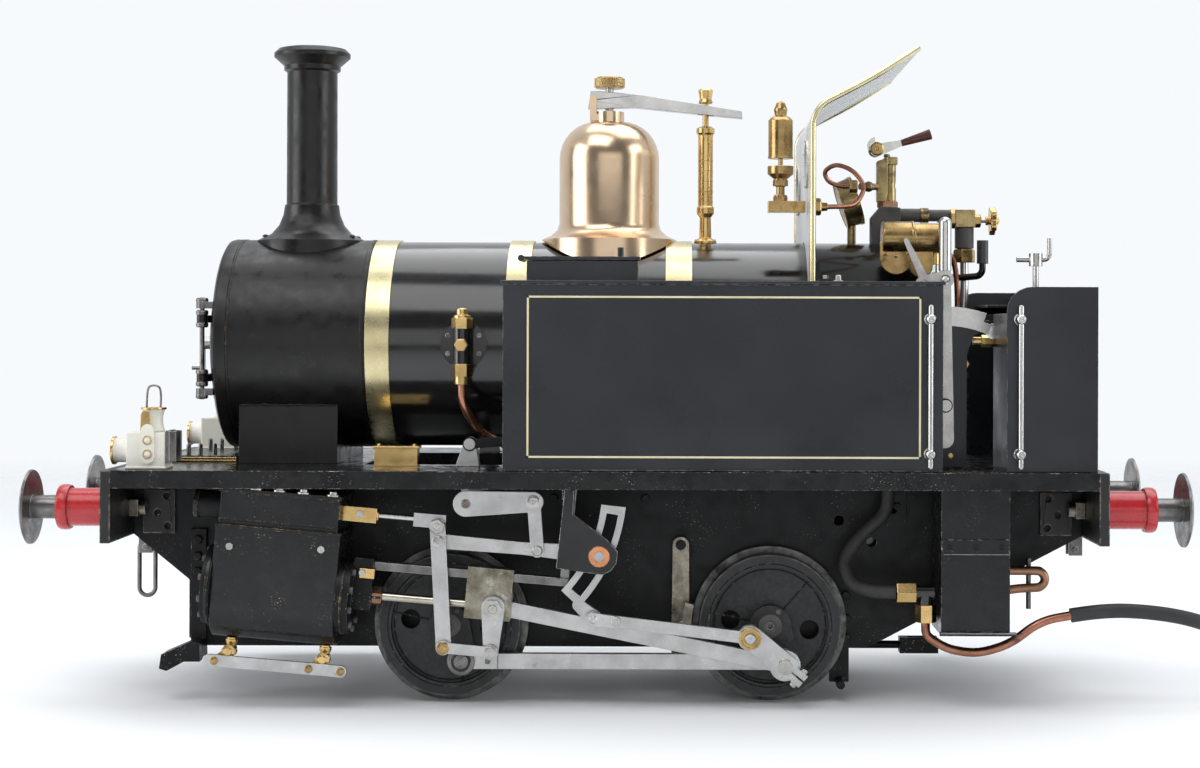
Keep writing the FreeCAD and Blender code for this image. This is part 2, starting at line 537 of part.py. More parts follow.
# ---- cylinders and their guides -----------------------------------------------------------------
def cylinders():
    x0, x1 = CYL_MID - 21.5, CYL_MID + 21.5
    axis = AXLE_Z
    pieces = []
    front_x, rear_x, low = x0 - 3.0, x1 - 1.5, axis - 19.4
    body = box(front_x, rear_x, FRAME_OUT + 0.1, 72.8, low + 13.4, axis + 22.0)
    rounding = cyl_x(front_x, rear_x, 59.2, low + 13.6, 13.6)
    rounding = rounding.fuse(box(front_x, rear_x, FRAME_OUT + 5, 59.2, low, axis))
    body = body.fuse(rounding).removeSplitter()
    body = body.cut(cyl_x(front_x - 1, rear_x + 1, CYL_Y, axis, BORE_R))
    chest = box(x0 - 2.5, x1 - 2.9, FRAME_OUT + 0.1, 71.0, axis + 22.0, axis + 35.0)
    chest = chest.cut(box(x0 + 1.0, x1 - 6.0, 50.0, 69.0, axis + 24.0, axis + 33.0))
    chest = chest.cut(cyl_x(x1 - 7, x1, CYL_Y, axis + 29.0, 1.35))
    front = cyl_x(front_x - 3.2, front_x, CYL_Y - 0.6, axis - 1.0, 14.4)
    rear = cyl_x(rear_x, x1 + 3.4, CYL_Y - 0.6, axis - 1.0, 13.4)
    boss = box(x1 + 3.4, x1 + 10.4, 58.0, 66.2, axis - 5.0, axis + GUIDE_UP + 2.6)
    gland = hex_x(x1 + 10.4, x1 + 13.6, CYL_Y, axis, 3.4)
    rod_hole = cyl_x(x1 - 3, x1 + 20, CYL_Y, axis, 1.6 + RUN)
    rear, boss, gland = rear.cut(rod_hole), boss.cut(rod_hole), gland.cut(rod_hole)
    valve_gland = box(x1 - 2.9, x1 + 9.2, CYL_Y - 2.6, CYL_Y + 2.6, axis + 26.4, axis + 31.6).cut(
        cyl_x(x1 - 4, x1 + 20, CYL_Y, axis + 29.0, 1.1 + RUN))
    tail = cyl_x(x0 - 12.5, x0 - 2.5, CYL_Y, axis + 28.0, 4.9)
    for solid in (body, chest, front, rear, boss, gland, valve_gland, tail):
        pieces.append(sloped(solid))
    for x in (x0 + 4.0, x1 - 5.0):
        cock = cyl_z(low - 5.0, low, x, CYL_Y - 1.0, 1.7).fuse(
            cyl_y(CYL_Y - 3.0, CYL_Y + 4.0, (x, low - 4.6), 1.9)).removeSplitter()
        pieces.append(sloped(cock))
    return both(pieces)


def drain_cock_links():
    links = []
    axis = AXLE_Z
    x0, x1 = CYL_MID - 24.0, CYL_MID + 23.6
    bar = link_plate((x0, axis - 27.4), (x1, axis - 27.4), 2.1, 2.1, CYL_Y + 4.4, CYL_Y + 6.0)
    links.append(sloped(bar))
    return both(links)


def motion_brackets():
    axis = AXLE_Z
    x1 = CYL_MID + 21.5
    bar = box(x1 + 10.4, 60.0 - 74.5, 59.6, 64.6, axis + GUIDE_UP - 1.45, axis + GUIDE_UP + 1.45)
    bar = sloped(bar)
    outline = [(-14.4, 79.5), (-11.0, 79.5), (-11.4, 71.0), (0.6, 62.0), (4.6, 57.6)]
    curve = [polar(TRUNNION, 6.6, a) for a in (8, -20, -50, -80)]
    cheek = plate(outline + curve + [(-17.4, 51.6)], BRACKET_Y[0], BRACKET_Y[1])
    bush = cyl_y(BRACKET_Y[0] - 0.2, BRACKET_Y[1] + 0.5, TRUNNION, 3.7)
    cheek = cheek.cut(bush)
    bush = bush.cut(cyl_y(BRACKET_Y[0] - 1, BRACKET_Y[1] + 1, TRUNNION, 1.8 + RUN))
    stay = box(-15.4, -11.2, FRAME_OUT, BRACKET_Y[0], 76.0, 79.5).fuse(
        box(-15.4, -13.2, FRAME_OUT, 57.0, 52.0, 79.5)).removeSplitter()
    stay = stay.cut(sloped(box(x1, 60.0 - 70, 56.0, 68.0, axis + 5, axis + GUIDE_UP + 4)))
    post = sloped(box(60.0 - 77.5, 60.0 - 74.5, 59.6, 64.6, axis + GUIDE_UP + 1.45, axis + 45.0)).common(
        box(-40, 0, 55, 63.3, 40, 79.5))
    return both([bar, cheek, bush, stay, post.cut(stay)])


# ---- wheels and rods ----------------------------------------------------------------------------
def wheel(x, crank_deg):
    centre = (x, AXLE_Z)
    pin = polar(centre, CRANK_THROW, crank_deg)
    tyre = cyl_y(WHEEL_IN, WHEEL_OUT, centre, TREAD_R).fuse(cyl_y(WHEEL_IN, WHEEL_IN + 2.2, centre, FLANGE_R))
    tyre = tyre.cut(cyl_y(WHEEL_OUT - 2.6, WHEEL_OUT + 1, centre, TREAD_R - 4.6))
    tyre = tyre.cut(cyl_y(WHEEL_IN - 1, WHEEL_IN + 3.4, centre, TREAD_R - 4.6))
    boss = link_plate(centre, pin, 7.6, 5.6, WHEEL_IN + 3.0, WHEEL_OUT + 1.2)
    hub = cyl_y(WHEEL_IN + 0.2, WHEEL_OUT, centre, 7.4)
    solid = tyre.fuse([boss, hub]).removeSplitter()
    for turn in (62.0, 242.0):
        solid = solid.cut(cyl_y(WHEEL_IN - 1, WHEEL_OUT + 1, polar(centre, 14.6, crank_deg + turn), 3.5))
    solid = solid.cut(cyl_y(WHEEL_IN - 1, WHEEL_OUT + 3, centre, AXLE_R - 1.0))
    return solid.cut(cyl_y(WHEEL_OUT - 6, WHEEL_OUT + 3, pin, CRANK_PIN_R))


def wheelset(x, pin_end):
    solids = [wheel(x, RIGHT_CRANK_DEG), mirror(wheel(x, LEFT_CRANK_DEG))]
    axle = cyl_y(-WHEEL_IN, WHEEL_IN, (x, AXLE_Z), AXLE_R)
    for y0, y1 in ((WHEEL_IN, WHEEL_OUT + 1.0), (-WHEEL_OUT - 1.0, -WHEEL_IN)):
        axle = axle.fuse(cyl_y(y0, y1, (x, AXLE_Z), AXLE_R - 1.0))
    axle = axle.removeSplitter()
    axle = axle.cut(cyl_y(WHEEL_OUT - 2, WHEEL_OUT + 2, (x, AXLE_Z), 1.1))
    solids.append(axle.cut(cyl_y(-WHEEL_OUT - 2, 2 - WHEEL_OUT, (x, AXLE_Z), 1.1)))
    for crank_deg, flip in ((RIGHT_CRANK_DEG, False), (LEFT_CRANK_DEG, True)):
        p = polar((x, AXLE_Z), CRANK_THROW, crank_deg)
        pin = cyl_y(WHEEL_OUT - 6, 55.8, p, CRANK_PIN_R).fuse(cyl_y(55.8, pin_end, p, 3.4)).removeSplitter()
        solids.append(mirror(pin) if flip else pin)
    return solids


def brake_hangers():
    """Brake blocks ahead of the rear wheels, hung from the frames and joined by a beam under them."""
    rear_axle = (REAR_AXLE_X, AXLE_Z)
    solids = []
    face, back = TREAD_R + 2.9, TREAD_R + 6.2
    arc = [polar(rear_axle, face, a) for a in (165, 170, 175, 180, 185, 190, 195)]
    outer = [polar(rear_axle, back, a) for a in (195, 190, 185, 180, 175, 170, 165)]
    block = plate(arc + outer, 44.6, 50.0)
    hanger = link_plate(BRAKE_PIVOT, BRAKE_BEAM, 3.0, 3.4, 41.9, 44.3)
    hanger = hanger.cut(cyl_y(40, 46, BRAKE_PIVOT, 1.8 + RUN))
    pin = cyl_y(44.0, 50.0, (BRAKE_PIVOT[0] + 0.6, AXLE_Z), 1.6)
    solids = both([block.fuse([hanger, pin]).removeSplitter()])
    beam = cyl_y(-41.9, 41.9, BRAKE_BEAM, 2.0)
    return solids + [beam]


def brake_pull_rod():
    x, z = BRAKE_BEAM
    eye = box(x + 2.3, x + 5.2, -4.0, 4.0, z - 2.4, z + 2.4)
    rod = cyl_x(x + 5.2, 112.6, 0, z, 1.5)
    fork = box(112.6, 127.6, -3.4, 3.4, z - 3.0, z + 3.0).cut(box(116.0, 129.0, -1.6, 1.6, z - 4, z + 4))
    return [eye.fuse([rod, fork]).removeSplitter()]


def coupling_rod(at):
    y0, y1 = COUPLING_ROD_Y
    rod = link_plate(at["front_pin"], at["pin"], 5.0, 5.0, y0, y1, 2.9)
    for p in (at["front_pin"], at["pin"]):
        rod = rod.cut(cyl_y(y0 - 1, y1 + 1, p, CRANK_PIN_R + RUN))
    return [rod]


def crosshead(at):
    gx = REAR_AXLE_X + at["travel"]
    axis = AXLE_Z
    block = box(gx - 10.4, gx + 6.2, BLOCK_Y[0], BLOCK_Y[1], axis - 4.6, axis + GUIDE_UP + 2.9)
    block = block.cut(box(gx - 12, gx + 8, 59.4, 64.8, axis + GUIDE_UP - 1.65, axis + GUIDE_UP + 1.65))
    block = block.cut(box(gx - 5.0, gx + 8, SLOT_Y[0], SLOT_Y[1], axis - 6, axis + 5.6))
    block = block.cut(cyl_y(BLOCK_Y[0] - 1, BLOCK_Y[1] + 1, (gx, axis), 1.8))
    rod = cyl_x(gx - PISTON_BACK - 2.5, gx - 10.4, CYL_Y, axis, 1.6)
    piston = cyl_x(gx - PISTON_BACK - 3.0, gx - PISTON_BACK + 3.0, CYL_Y, axis, BORE_R - 0.1)
    pin = cyl_y(BLOCK_Y[0] - 0.0, DROP_ARM_Y[0], (gx, axis), 1.8)
    pieces = [sloped(s) for s in (block, rod.cut(piston), piston, pin)]
    arm = link_plate(at["gudgeon"], at["drop"], 4.2, 2.7, *DROP_ARM_Y)
    arm_pin = cyl_y(DROP_ARM_Y[1], UNION_Y[1] + 0.1, at["drop"], 1.3).fuse(
        cyl_y(UNION_Y[1] + 0.1, UNION_Y[1] + 1.0, at["drop"], 2.2)).removeSplitter()
    nut = hex_y(DROP_ARM_Y[1], DROP_ARM_Y[1] + 2.6, at["gudgeon"], 3.4)
    return pieces + [arm, arm_pin, nut]


def connecting_rod(at):
    y0, y1 = CON_ROD_Y
    rod = link_plate(at["gudgeon"], at["pin"], 3.6, 5.6, y0, y1, 2.8)
    rod = rod.cut(cyl_y(y0 - 1, y1 + 1, at["gudgeon"], 1.8 + RUN))
    rod = rod.cut(cyl_y(y0 - 1, y1 + 1, at["pin"], 2.9))
    stub = cyl_y(JOURNAL_IN, RETURN_CRANK_Y[1] + 0.1, at["pin"], 2.9)
    crank = link_plate(at["ecc"], at["pin"], 4.2, 4.4, *RETURN_CRANK_Y)
    clamp = box(0.0, 8.4, *RETURN_CRANK_Y, -2.6, 2.6)
    slit = box(0.0, 9.4, RETURN_CRANK_Y[0] - 1, RETURN_CRANK_Y[1] + 1, -0.35, 0.35)
    slant = math.degrees(math.atan2(at["ecc"][1] - at["pin"][1], at["pin"][0] - at["ecc"][0]))
    for piece in (clamp, slit):
        piece.rotate(V(0, 0, 0), V(0, 1, 0), slant)
        piece.translate(V(at["pin"][0], 0, at["pin"][1]))
    boss = cyl_y(RETURN_CRANK_Y[1], ECC_ROD_Y[0] - 0.3, at["ecc"], 3.0)
    crank = crank.fuse([clamp, boss]).removeSplitter().cut(slit).cut(cyl_y(63, 68, at["pin"], 2.9))
    return [rod, stub, crank]


def combination_lever(at):
    y0, y1 = LEVER_Y
    lever = link_plate(at["foot"], at["top"], 2.75, 2.75, y0, y1)
    lever = lever.cut(cyl_y(y0 - 1, y1 + 1, LEVER_PIVOT, 1.5 + RUN))
    head = cyl_y(y1, y1 + 1.0, at["top"], 2.3)
    return [lever, head]


def union_link(at):
    y0, y1 = UNION_Y
    link = link_plate(at["foot"], at["drop"], 2.6, 2.6, y0, y1, 1.9)
    link = link.cut(cyl_y(y0 - 1, y1 + 1, at["drop"], 1.3 + RUN))
    return [link, cyl_y(y1, y1 + 0.9, at["foot"], 2.3)]


def valve_spindle(at):
    slope = math.radians(SLOPE_DEG)
    dx, dz = at["top"][0] - REAR_AXLE_X, at["top"][1] - AXLE_Z
    top_x = REAR_AXLE_X + dx * math.cos(slope) - dz * math.sin(slope)
    fork_z = AXLE_Z + 29.0
    fork = box(top_x - 9.0, top_x + 2.6, CYL_Y - 1.6, 65.8, fork_z - 2.5, fork_z + 2.5)
    rod = cyl_x(CYL_MID + 10.0, top_x - 9.0, CYL_Y, fork_z, 1.1)
    return [sloped(rod), sloped(fork)]


def link_slot(radius, half_width, reach_deg, y0, y1):
    """A curved bar about the lever pivot, through the trunnion."""
    base = math.degrees(math.atan2(TRUNNION[1] - LEVER_PIVOT[1], TRUNNION[0] - LEVER_PIVOT[0]))
    outer = [polar(LEVER_PIVOT, radius + half_width, base + a) for a in
             [reach_deg * (k / 6 - 1) for k in range(13)]]
    inner = [polar(LEVER_PIVOT, radius - half_width, base + a) for a in
             [reach_deg * (1 - k / 6) for k in range(13)]]
    return plate(outer + inner, y0, y1)


def expansion_link(at):
    y0, y1 = LINK_Y
    radius = math.hypot(TRUNNION[0] - LEVER_PIVOT[0], TRUNNION[1] - LEVER_PIVOT[1])
    body, slot, die = [turned_about(link_slot(radius, half, reach, low, high), TRUNNION, LINK_SET)
                       for half, reach, low, high in ((4.4, 18.5, y0, y1), (2.1, 15.5, y0 - 1, y1 + 1),
                                                      (2.05, 3.4, y0, y1))]
    tail0 = (TRUNNION[0] - 2.0, TRUNNION[1] - math.sqrt(LINK_TAIL ** 2 - 4.0))
    tail = link_plate(tail0, (tail0[0] - 5.4, tail0[1] + 4.6), 2.9, 2.2, y0, y1)
    body = body.fuse(tail).removeSplitter().cut(slot)
    pin = cyl_y(y1, BRACKET_Y[1] + 0.4, TRUNNION, 1.8)
    tail_pin = cyl_y(y1, ECC_ROD_Y[1] + 0.1, tail0, 1.3).fuse(
        cyl_y(ECC_ROD_Y[1] + 0.1, ECC_ROD_Y[1] + 0.9, tail0, 2.2)).removeSplitter()
    rest = math.degrees(math.atan2(tail0[1] - TRUNNION[1], tail0[0] - TRUNNION[0]))
    now = math.degrees(math.atan2(at["tail"][1] - TRUNNION[1], at["tail"][0] - TRUNNION[0]))
    return [turned_about(s, TRUNNION, rest - now) for s in (body, die.fuse(pin).removeSplitter(), tail_pin)]


def eccentric_rod(at):
    y0, y1 = ECC_ROD_Y
    rod = link_plate(at["tail"], at["ecc"], 2.7, 4.4, y0, y1, 2.1)
    rod = rod.cut(cyl_y(y0 - 1, y1 + 1, at["tail"], 1.3 + RUN))
    rod = rod.cut(cyl_y(y0 - 1, y1 + 1, at["ecc"], 3.3))
    bush = cyl_y(y0, y1 + 0.5, at["ecc"], 3.3)
    head = cyl_y(y1 + 0.5, y1 + 1.3, at["ecc"], 2.0)
    return [rod, bush.fuse(head).removeSplitter()]


def radius_rods():
    y0, y1 = RADIUS_ROD_Y
    near = (LEVER_PIVOT[0] + 30.0, LEVER_PIVOT[1] - 30.0 * 4.8 / 57.8)
    lift = (-24.3, 57.4)
    front = link_plate(LEVER_PIVOT, near, 2.6, 2.2, y0, y1)
    rear = link_plate(near, (TRUNNION[0] - 3.0, TRUNNION[1] + 0.25), 2.2, 3.2, y0, y1)
    rod = front.fuse(rear).removeSplitter()
    pin = cyl_y(y1, LEVER_Y[1] + 0.1, LEVER_PIVOT, 1.5).fuse(
        cyl_y(LEVER_Y[1] + 0.1, LEVER_Y[1] + 0.9, LEVER_PIVOT, 2.2)).removeSplitter()
    top = (WEIGHSHAFT[0] + LIFT_ARM_L, WEIGHSHAFT[1] + 0.7)
    hanger = link_plate(lift, top, 2.4, 2.4, *LIFT_LINK_Y)
    peg = cyl_y(y1, LIFT_LINK_Y[0], lift, 1.3)
    return both([rod, pin, hanger.fuse(peg).removeSplitter()])


def weighshaft():
    end = (WEIGHSHAFT[0] + LIFT_ARM_L, WEIGHSHAFT[1] + 0.7)
    arm = link_plate(WEIGHSHAFT, end, 4.6, 3.6, *LIFT_ARM_Y)
    head = cyl_y(LIFT_ARM_Y[1], LIFT_ARM_Y[1] + 0.9, end, 2.4)
    shaft = cyl_y(-LIFT_ARM_Y[0], LIFT_ARM_Y[0], WEIGHSHAFT, 2.5)
    up = link_plate(WEIGHSHAFT, REACH_PIN, 4.2, 2.6, 43.0, 45.2).cut(cyl_y(40, 50, WEIGHSHAFT, 2.5))
    pin = cyl_y(45.2, 47.7, REACH_PIN, 1.3).fuse(cyl_y(47.7, 48.5, REACH_PIN, 2.1)).removeSplitter()
    return both([arm, head]) + [shaft, mirror(up), mirror(pin)]


def reach_rod():
    rear = (LEVER_FOOT[0], LEVER_FOOT[1] + LEVER_REACH)
    rod = link_plate(REACH_PIN, rear, 2.6, 2.6, 45.6, 47.6, 1.7)
    for pin in (REACH_PIN, rear):
        rod = rod.cut(cyl_y(45, 48, pin, 1.3 + 0.6))
    return [mirror(rod)]


def reversing_lever():
    x, z = LEVER_FOOT
    blade = link_plate(LEVER_FOOT, (x, 160.0), 3.4, 2.0, 43.0, 45.2)
    blade = blade.cut(cyl_y(42, 46, LEVER_FOOT, 1.8 + RUN))
    grip = cyl_z(159.0, 176.5, x, 44.1, 2.4).fuse(Part.makeSphere(2.4, V(x, 44.1, 176.5))).removeSplitter()
    blade = blade.cut(grip)
    pin = cyl_y(45.2, 47.7, (x, z + LEVER_REACH), 1.3).fuse(
        cyl_y(47.7, 48.5, (x, z + LEVER_REACH), 2.1)).removeSplitter()
    plate_latch = link_plate((x - 8.0, 153.8), (x - 0.2, 155.6), 3.2, 3.2, 45.2, 46.4)
    latch = link_plate((x - 8.0, 156.0), (x - 14.6, 170.0), 1.6, 0.9, 45.2, 46.4)
    return [mirror(s) for s in (blade, grip, pin, plate_latch.fuse(latch).removeSplitter())]


def reversing_stand():
    x = LEVER_FOOT[0]
    stand = plate([(x - 4.0, DECK_Z), (x + 8.5, DECK_Z), (x + 8.5, 128.0), (x + 11.0, 135.0),
                   (x + 17.0, 138.5), (x + 17.0, 140.5), (x - 4.0, 143.5)], 40.6, 42.4)
    arc = [polar(LEVER_FOOT, 49.0, 90 - a) for a in [-18 + 4.6 * k for k in range(9)]]
    low = [polar(LEVER_FOOT, 44.0, 90 - a) for a in [18.8 - 4.6 * k for k in range(9)]]
    sector = plate(arc + low, 42.4, 42.8)
    pin = cyl_y(42.4, 45.6, LEVER_FOOT, 1.8)
    return [mirror(s) for s in (stand, sector, pin)]


# ---- cab fittings -------------------------------------------------------------------------------
def regulator_handle():
    z = 158.0
    spindle = cyl_x(BACKHEAD_X + 3.0, 130.0, 0, z, 1.5)
    arm = bent_tube([(129.0, 0, z), (135.0, -3.5, z - 0.8), (143.4, -9.0, z), (143.4, -9.4, z + 6.0)], 1.3)[0]
    grip = cyl_z(z + 4.6, z + 13.6, 143.4, -9.4, 2.2)
    return [spindle.fuse(arm).removeSplitter().cut(grip), grip]


def boiler_fittings():
    solids = []
    turret_seat = cyl_x(40, 140, 0, BOILER_Z, BOILER_R)
    block = box(100.0, 110.0, -5.0, 5.0, 168.0, 184.2).cut(turret_seat)
    riser = cyl_z(184.2, 200.6, 104.6, 0, 3.0).fuse(hex_z(184.2, 187.2, 104.6, 0, 4.4)).removeSplitter()
    cap = box(100.8, 108.4, -3.6, 3.6, 200.6, 203.6)
    valve = cyl_x(110.0, 121.0, 0, 180.2, 2.6)
    nut = hex_x(121.0, 133.4, 0, 179.6, 4.4).cut(cyl_x(120, 140, 0, 179.6, 0.85))
    solids += [block, riser, cap, valve, nut]
    gland = cyl_x(BACKHEAD_X, BACKHEAD_X + 3.0, 0, 158.0, 4.2)
    solids.append(gland)
    glass_y = -14.0
    for z in (140.0, 165.0):
        body = cyl_z(z - 3.0, z + 3.0, 124.0, glass_y, 2.6)
        solids.append(cyl_x(BACKHEAD_X, 122.0, glass_y, z, 1.6).fuse(body).removeSplitter())
    solids.append(cyl_z(143.0, 162.0, 124.0, glass_y, 1.3))
    drum = cyl_x(101.9, 124.5, -30.5, 170.6, 6.4).cut(cyl_x(90, 101.2, -30.5, 170.6, 7))
    seat = box(101.9, 116.0, -33.5, -27.5, 156.5, 166.0).cut(turret_seat).cut(drum)
    solids += [drum, seat]
    gauge = turned_x([(-3.0, 0.0), (-3.0, 9.0), (3.0, 9.6), (3.0, 0.0)], 0, 0)
    gauge.rotate(V(0, 0, 0), V(0, 1, 0), -18)
    gauge.translate(V(93.0, 12.0, 187.0))
    neck = cyl_z(167.0, 181.0, 94.6, 12.0, 1.7).cut(turret_seat).cut(gauge)
    solids += [gauge, neck]
    solids.append(box(-86.0, -70.0, -46.0, -38.6, DECK_Z, 93.0))
    return solids + reversing_stand() + spring_balance() + whistle()


def blower_wheel():
    spindle = cyl_x(127.0, 148.0, 0, 179.6, 0.8)
    hub = cyl_x(146.4, 151.0, 0, 179.6, 1.7)
    rim = Part.makeTorus(4.6, 1.2, V(148.6, 0, 179.6), V(1, 0, 0))
    arms = [box(147.8, 149.4, -4.4, 4.4, 178.9, 180.3), box(147.8, 149.4, -0.7, 0.7, 175.2, 184.0)]
    return [spindle.fuse([hub, rim] + arms).removeSplitter()]


def whistle_lever():
    pivot = (103.0, 207.2)
    yoke = link_plate(pivot, (114.0, 210.4), 2.6, 1.1, 3.9, 5.1)
    pin = cyl_y(-1.6, 5.9, pivot, 1.0)
    grip = Part.makeCone(1.3, 2.1, 12.0, V(113.4, 4.5, 210.2), V(0.955, 0, 0.296))
    return [yoke.fuse(pin).removeSplitter().cut(grip), grip]


def feed_pipes():
    solids = []
    x = -53.6
    pad = cyl_y(38.0, 41.4, (x, BOILER_Z), 8.6).cut(cyl_x(-80, -30, 0, BOILER_Z, BOILER_R))
    stem = cyl_y(41.4, 44.0, (x, 131.4), 2.2)
    body = cyl_z(124.0, 137.0, x, 46.4, 3.2)
    stem = stem.cut(body)
    top = hex_z(137.0, 141.0, x, 46.4, 4.0)
    low = hex_z(119.4, 124.0, x, 46.4, 4.0)
    pipe = bent_tube([(x, 46.4, 119.4), (x, 46.4, 109.0), (x + 6.0, 40.4, 98.5), (x + 21.0, 38.2, 91.0),
                      (10.0, 38.0, 89.6)], 1.6)[0]
    solids += both([pad, stem, body, top, low, pipe])
    y = -62.0
    elbow = cyl_x(112.0, 118.6, y, 42.4, 2.6).fuse(cyl_z(38.0, 42.4, 115.6, y, 2.6)).removeSplitter()
    nut_a = hex_x(105.0, 112.0, y, 42.4, 3.9)
    nut_b = hex_z(31.6, 38.0, 115.6, y, 3.9)
    solids += [elbow, nut_a, nut_b]
    solids.append(bent_tube(COPPER_ROUTE, 1.6)[0])
    solids.append(bent_tube(LAGGED_ROUTE, 2.4)[0])
    return solids


LAGGED_ROUTE = [(103.5, -48.0, 79.5), (103.0, -48.0, 70.0), (92.5, -48.0, 61.0), (86.6, -49.0, 52.0),
                (89.5, -55.0, 44.0), (96.0, -61.4, 42.4), (104.8, -62.0, 42.4)]


COPPER_ROUTE = [(115.6, -62.0, 31.6), (115.6, -62.0, 27.0), (123.0, -62.0, 22.0), (134.0, -62.0, 20.2),
                (146.0, -62.0, 23.6), (157.0, -62.0, 32.2), (173.0, -62.0, 35.0)]
HOSE_R = 2.65
HOSE_ROUTE = [(168.0, -62.0, 34.125), (180.0, -62.0, 36.225), (198.0, -61.5, 35.4), (214.0, -60.0, 32.4),
              (229.0, -55.0, 26.0), (242.0, -46.0, 15.0), (250.0, -31.0, 5.2), (254.0, -14.0, 3.0),
              (254.0, 4.0, 3.0), (251.0, 20.0, 3.0)]


def feed_hose():
    tube, radii, length = bent_tube(HOSE_ROUTE, HOSE_R)
    bore = bent_tube(COPPER_ROUTE, 1.6)[0]
    print("hose radii", radii, "length", round(length, 1), "volume", round(tube.Volume, 1),
          "section times length", round(math.pi * HOSE_R ** 2 * length, 1))
    return [tube.cut(bore)]


def hose_tail():
    end, before = V(*HOSE_ROUTE[-1]), V(*HOSE_ROUTE[-2])
    way = end - before
    way.normalize()
    barb = Part.makeCylinder(2.0, 5.0, end, way)
    nut = Part.makeCylinder(2.95, 5.4, end + way * 5.0, way)
    return [barb.fuse(nut).removeSplitter()]


# ---- buffers, coupling and lamps ----------------------------------------------------------------
def stock(sign, y):
    outline = [(179.8, SPIGOT_R), (179.8, 7.05), (198.0, 7.05), (198.0, 8.0), (199.0, 8.4), (201.0, 8.4),
               (202.0, 8.0), (202.0, 4.42), (183.0, 4.42), (183.0, SPIGOT_R)]
    body = turned_x([(sign * x, r) for x, r in outline], y, BUFFER_Z)
    lo, hi = sorted((sign * 170.6, sign * 183.0))
    spigot = cyl_x(lo, hi, y, BUFFER_Z, SPIGOT_R)
    lo, hi = sorted((sign * 172.6, sign * 176.2))
    nut = box(lo, hi, y - 3.1, y + 3.1, BUFFER_Z - 3.1, BUFFER_Z + 3.1).cut(spigot)
    return [body.fuse(spigot).removeSplitter(), nut]


def buffer_stocks():
    solids = []
    for sign in (-1, 1):
        for y in (-BUFFER_Y, BUFFER_Y):
            solids += stock(sign, y)
    return solids


def buffer_head(sign, y):
    face = BUFFER_X
    head = turned_x([(sign * (face - 2.4), 0.0), (sign * (face - 2.4), 13.6), (sign * (face - 1.5), 13.8),
                     (sign * (face - 0.7), 12.0), (sign * face, 5.0), (sign * face, 0.0)], y, BUFFER_Z)
    lo, hi = sorted((sign * 192.2, sign * (face - 2.4)))
    return [head.fuse(cyl_x(lo, hi, y, BUFFER_Z, 4.35)).removeSplitter()]


def coupling_link():
    """One long link of round bar, hanging on the cross pin."""
    x, wire, half = LINK_PIN[0], 0.85, 3.1
    top, bottom = LINK_PIN[1] - 1.05, 35.6
    right = Part.LineSegment(V(x + half, 0, top), V(x + half, 0, bottom)).toShape()
    low = Part.Arc(V(x + half, 0, bottom), V(x, 0, bottom - half), V(x - half, 0, bottom)).toShape()
    left = Part.LineSegment(V(x - half, 0, bottom), V(x - half, 0, top)).toShape()
    high = Part.Arc(V(x - half, 0, top), V(x, 0, top + half), V(x + half, 0, top)).toShape()
    ring = Part.Wire(Part.makeCircle(wire, V(x + half, 0, top), V(0, 0, -1)))
    return [Part.Wire([right, low, left, high]).makePipeShell([ring], True, True)]


def lamp():
    y = 60.0
    body = box(-172.0, -157.4, y - 6.2, y + 6.2, DECK_Z, 101.0)
    lens = turned_x([(-178.4, 0.0), (-178.4, 4.8), (-176.8, 5.2), (-172.0, 4.6), (-172.0, 0.0)], y, 94.2)
    chimney_top = turned([(0.0, 101.0), (3.9, 101.0), (3.6, 106.0), (4.4, 107.6), (0.0, 107.6)], -163.4, y)
    back = box(-157.4, -153.4, y - 4.6, y + 4.6, 88.8, 100.6)
    route = [(-165.8, y, 107.4), (-165.8, y, 115.4), (-161.0, y, 115.4), (-161.0, y, 107.4)]
    bail = bent_tube(route, 0.45)[0]
    return [body, lens, chimney_top.fuse(bail).removeSplitter(), back]


def front_lamps():
    return both(lamp())


# ---- build --------------------------------------------------------------------------------------
LEFT, RIGHT = pivots(LEFT_CRANK_DEG), pivots(RIGHT_CRANK_DEG)

NODES = {
    "main_frames": main_frames, "buffer_beams": buffer_beams,
    "running_boards": running_boards, "smokebox": smokebox, "smokebox_door": smokebox_door,
    "door_dart": door_dart, "chimney": chimney, "boiler_barrel": boiler_barrel, "boiler_bands": boiler_bands,
    "firebox": firebox, "fire_door": fire_door, "dome": dome, "safety_lever": safety_lever,
    "brake_hangers": brake_hangers, "brake_pull_rod": brake_pull_rod, "weatherboard": weatherboard,
    "left_side_tank": left_side_tank, "right_side_tank": right_side_tank,
    "filler_lid": filler_lid, "coal_bunkers": coal_bunkers, "bypass_handle": bypass_handle,
    "handrails": handrails, "cylinders": cylinders, "drain_cock_links": drain_cock_links,
    "motion_brackets": motion_brackets, "radius_rods": radius_rods, "weighshaft": weighshaft,
    "reach_rod": reach_rod, "reversing_lever": reversing_lever, "regulator_handle": regulator_handle,
    "boiler_fittings": boiler_fittings, "blower_wheel": blower_wheel, "whistle_lever": whistle_lever,
    "feed_pipes": feed_pipes, "feed_hose": feed_hose, "hose_tail": hose_tail,
    "coupling_link": coupling_link, "front_lamps": front_lamps,
    "rear_wheels": lambda: wheelset(REAR_AXLE_X, 57.2), "front_wheels": lambda: wheelset(FRONT_AXLE_X, 57.2),
    "front_left_buffer": lambda: buffer_head(-1, -BUFFER_Y),
    "front_right_buffer": lambda: buffer_head(-1, BUFFER_Y),
    "rear_left_buffer": lambda: buffer_head(1, -BUFFER_Y),
    "rear_right_buffer": lambda: buffer_head(1, BUFFER_Y),
}
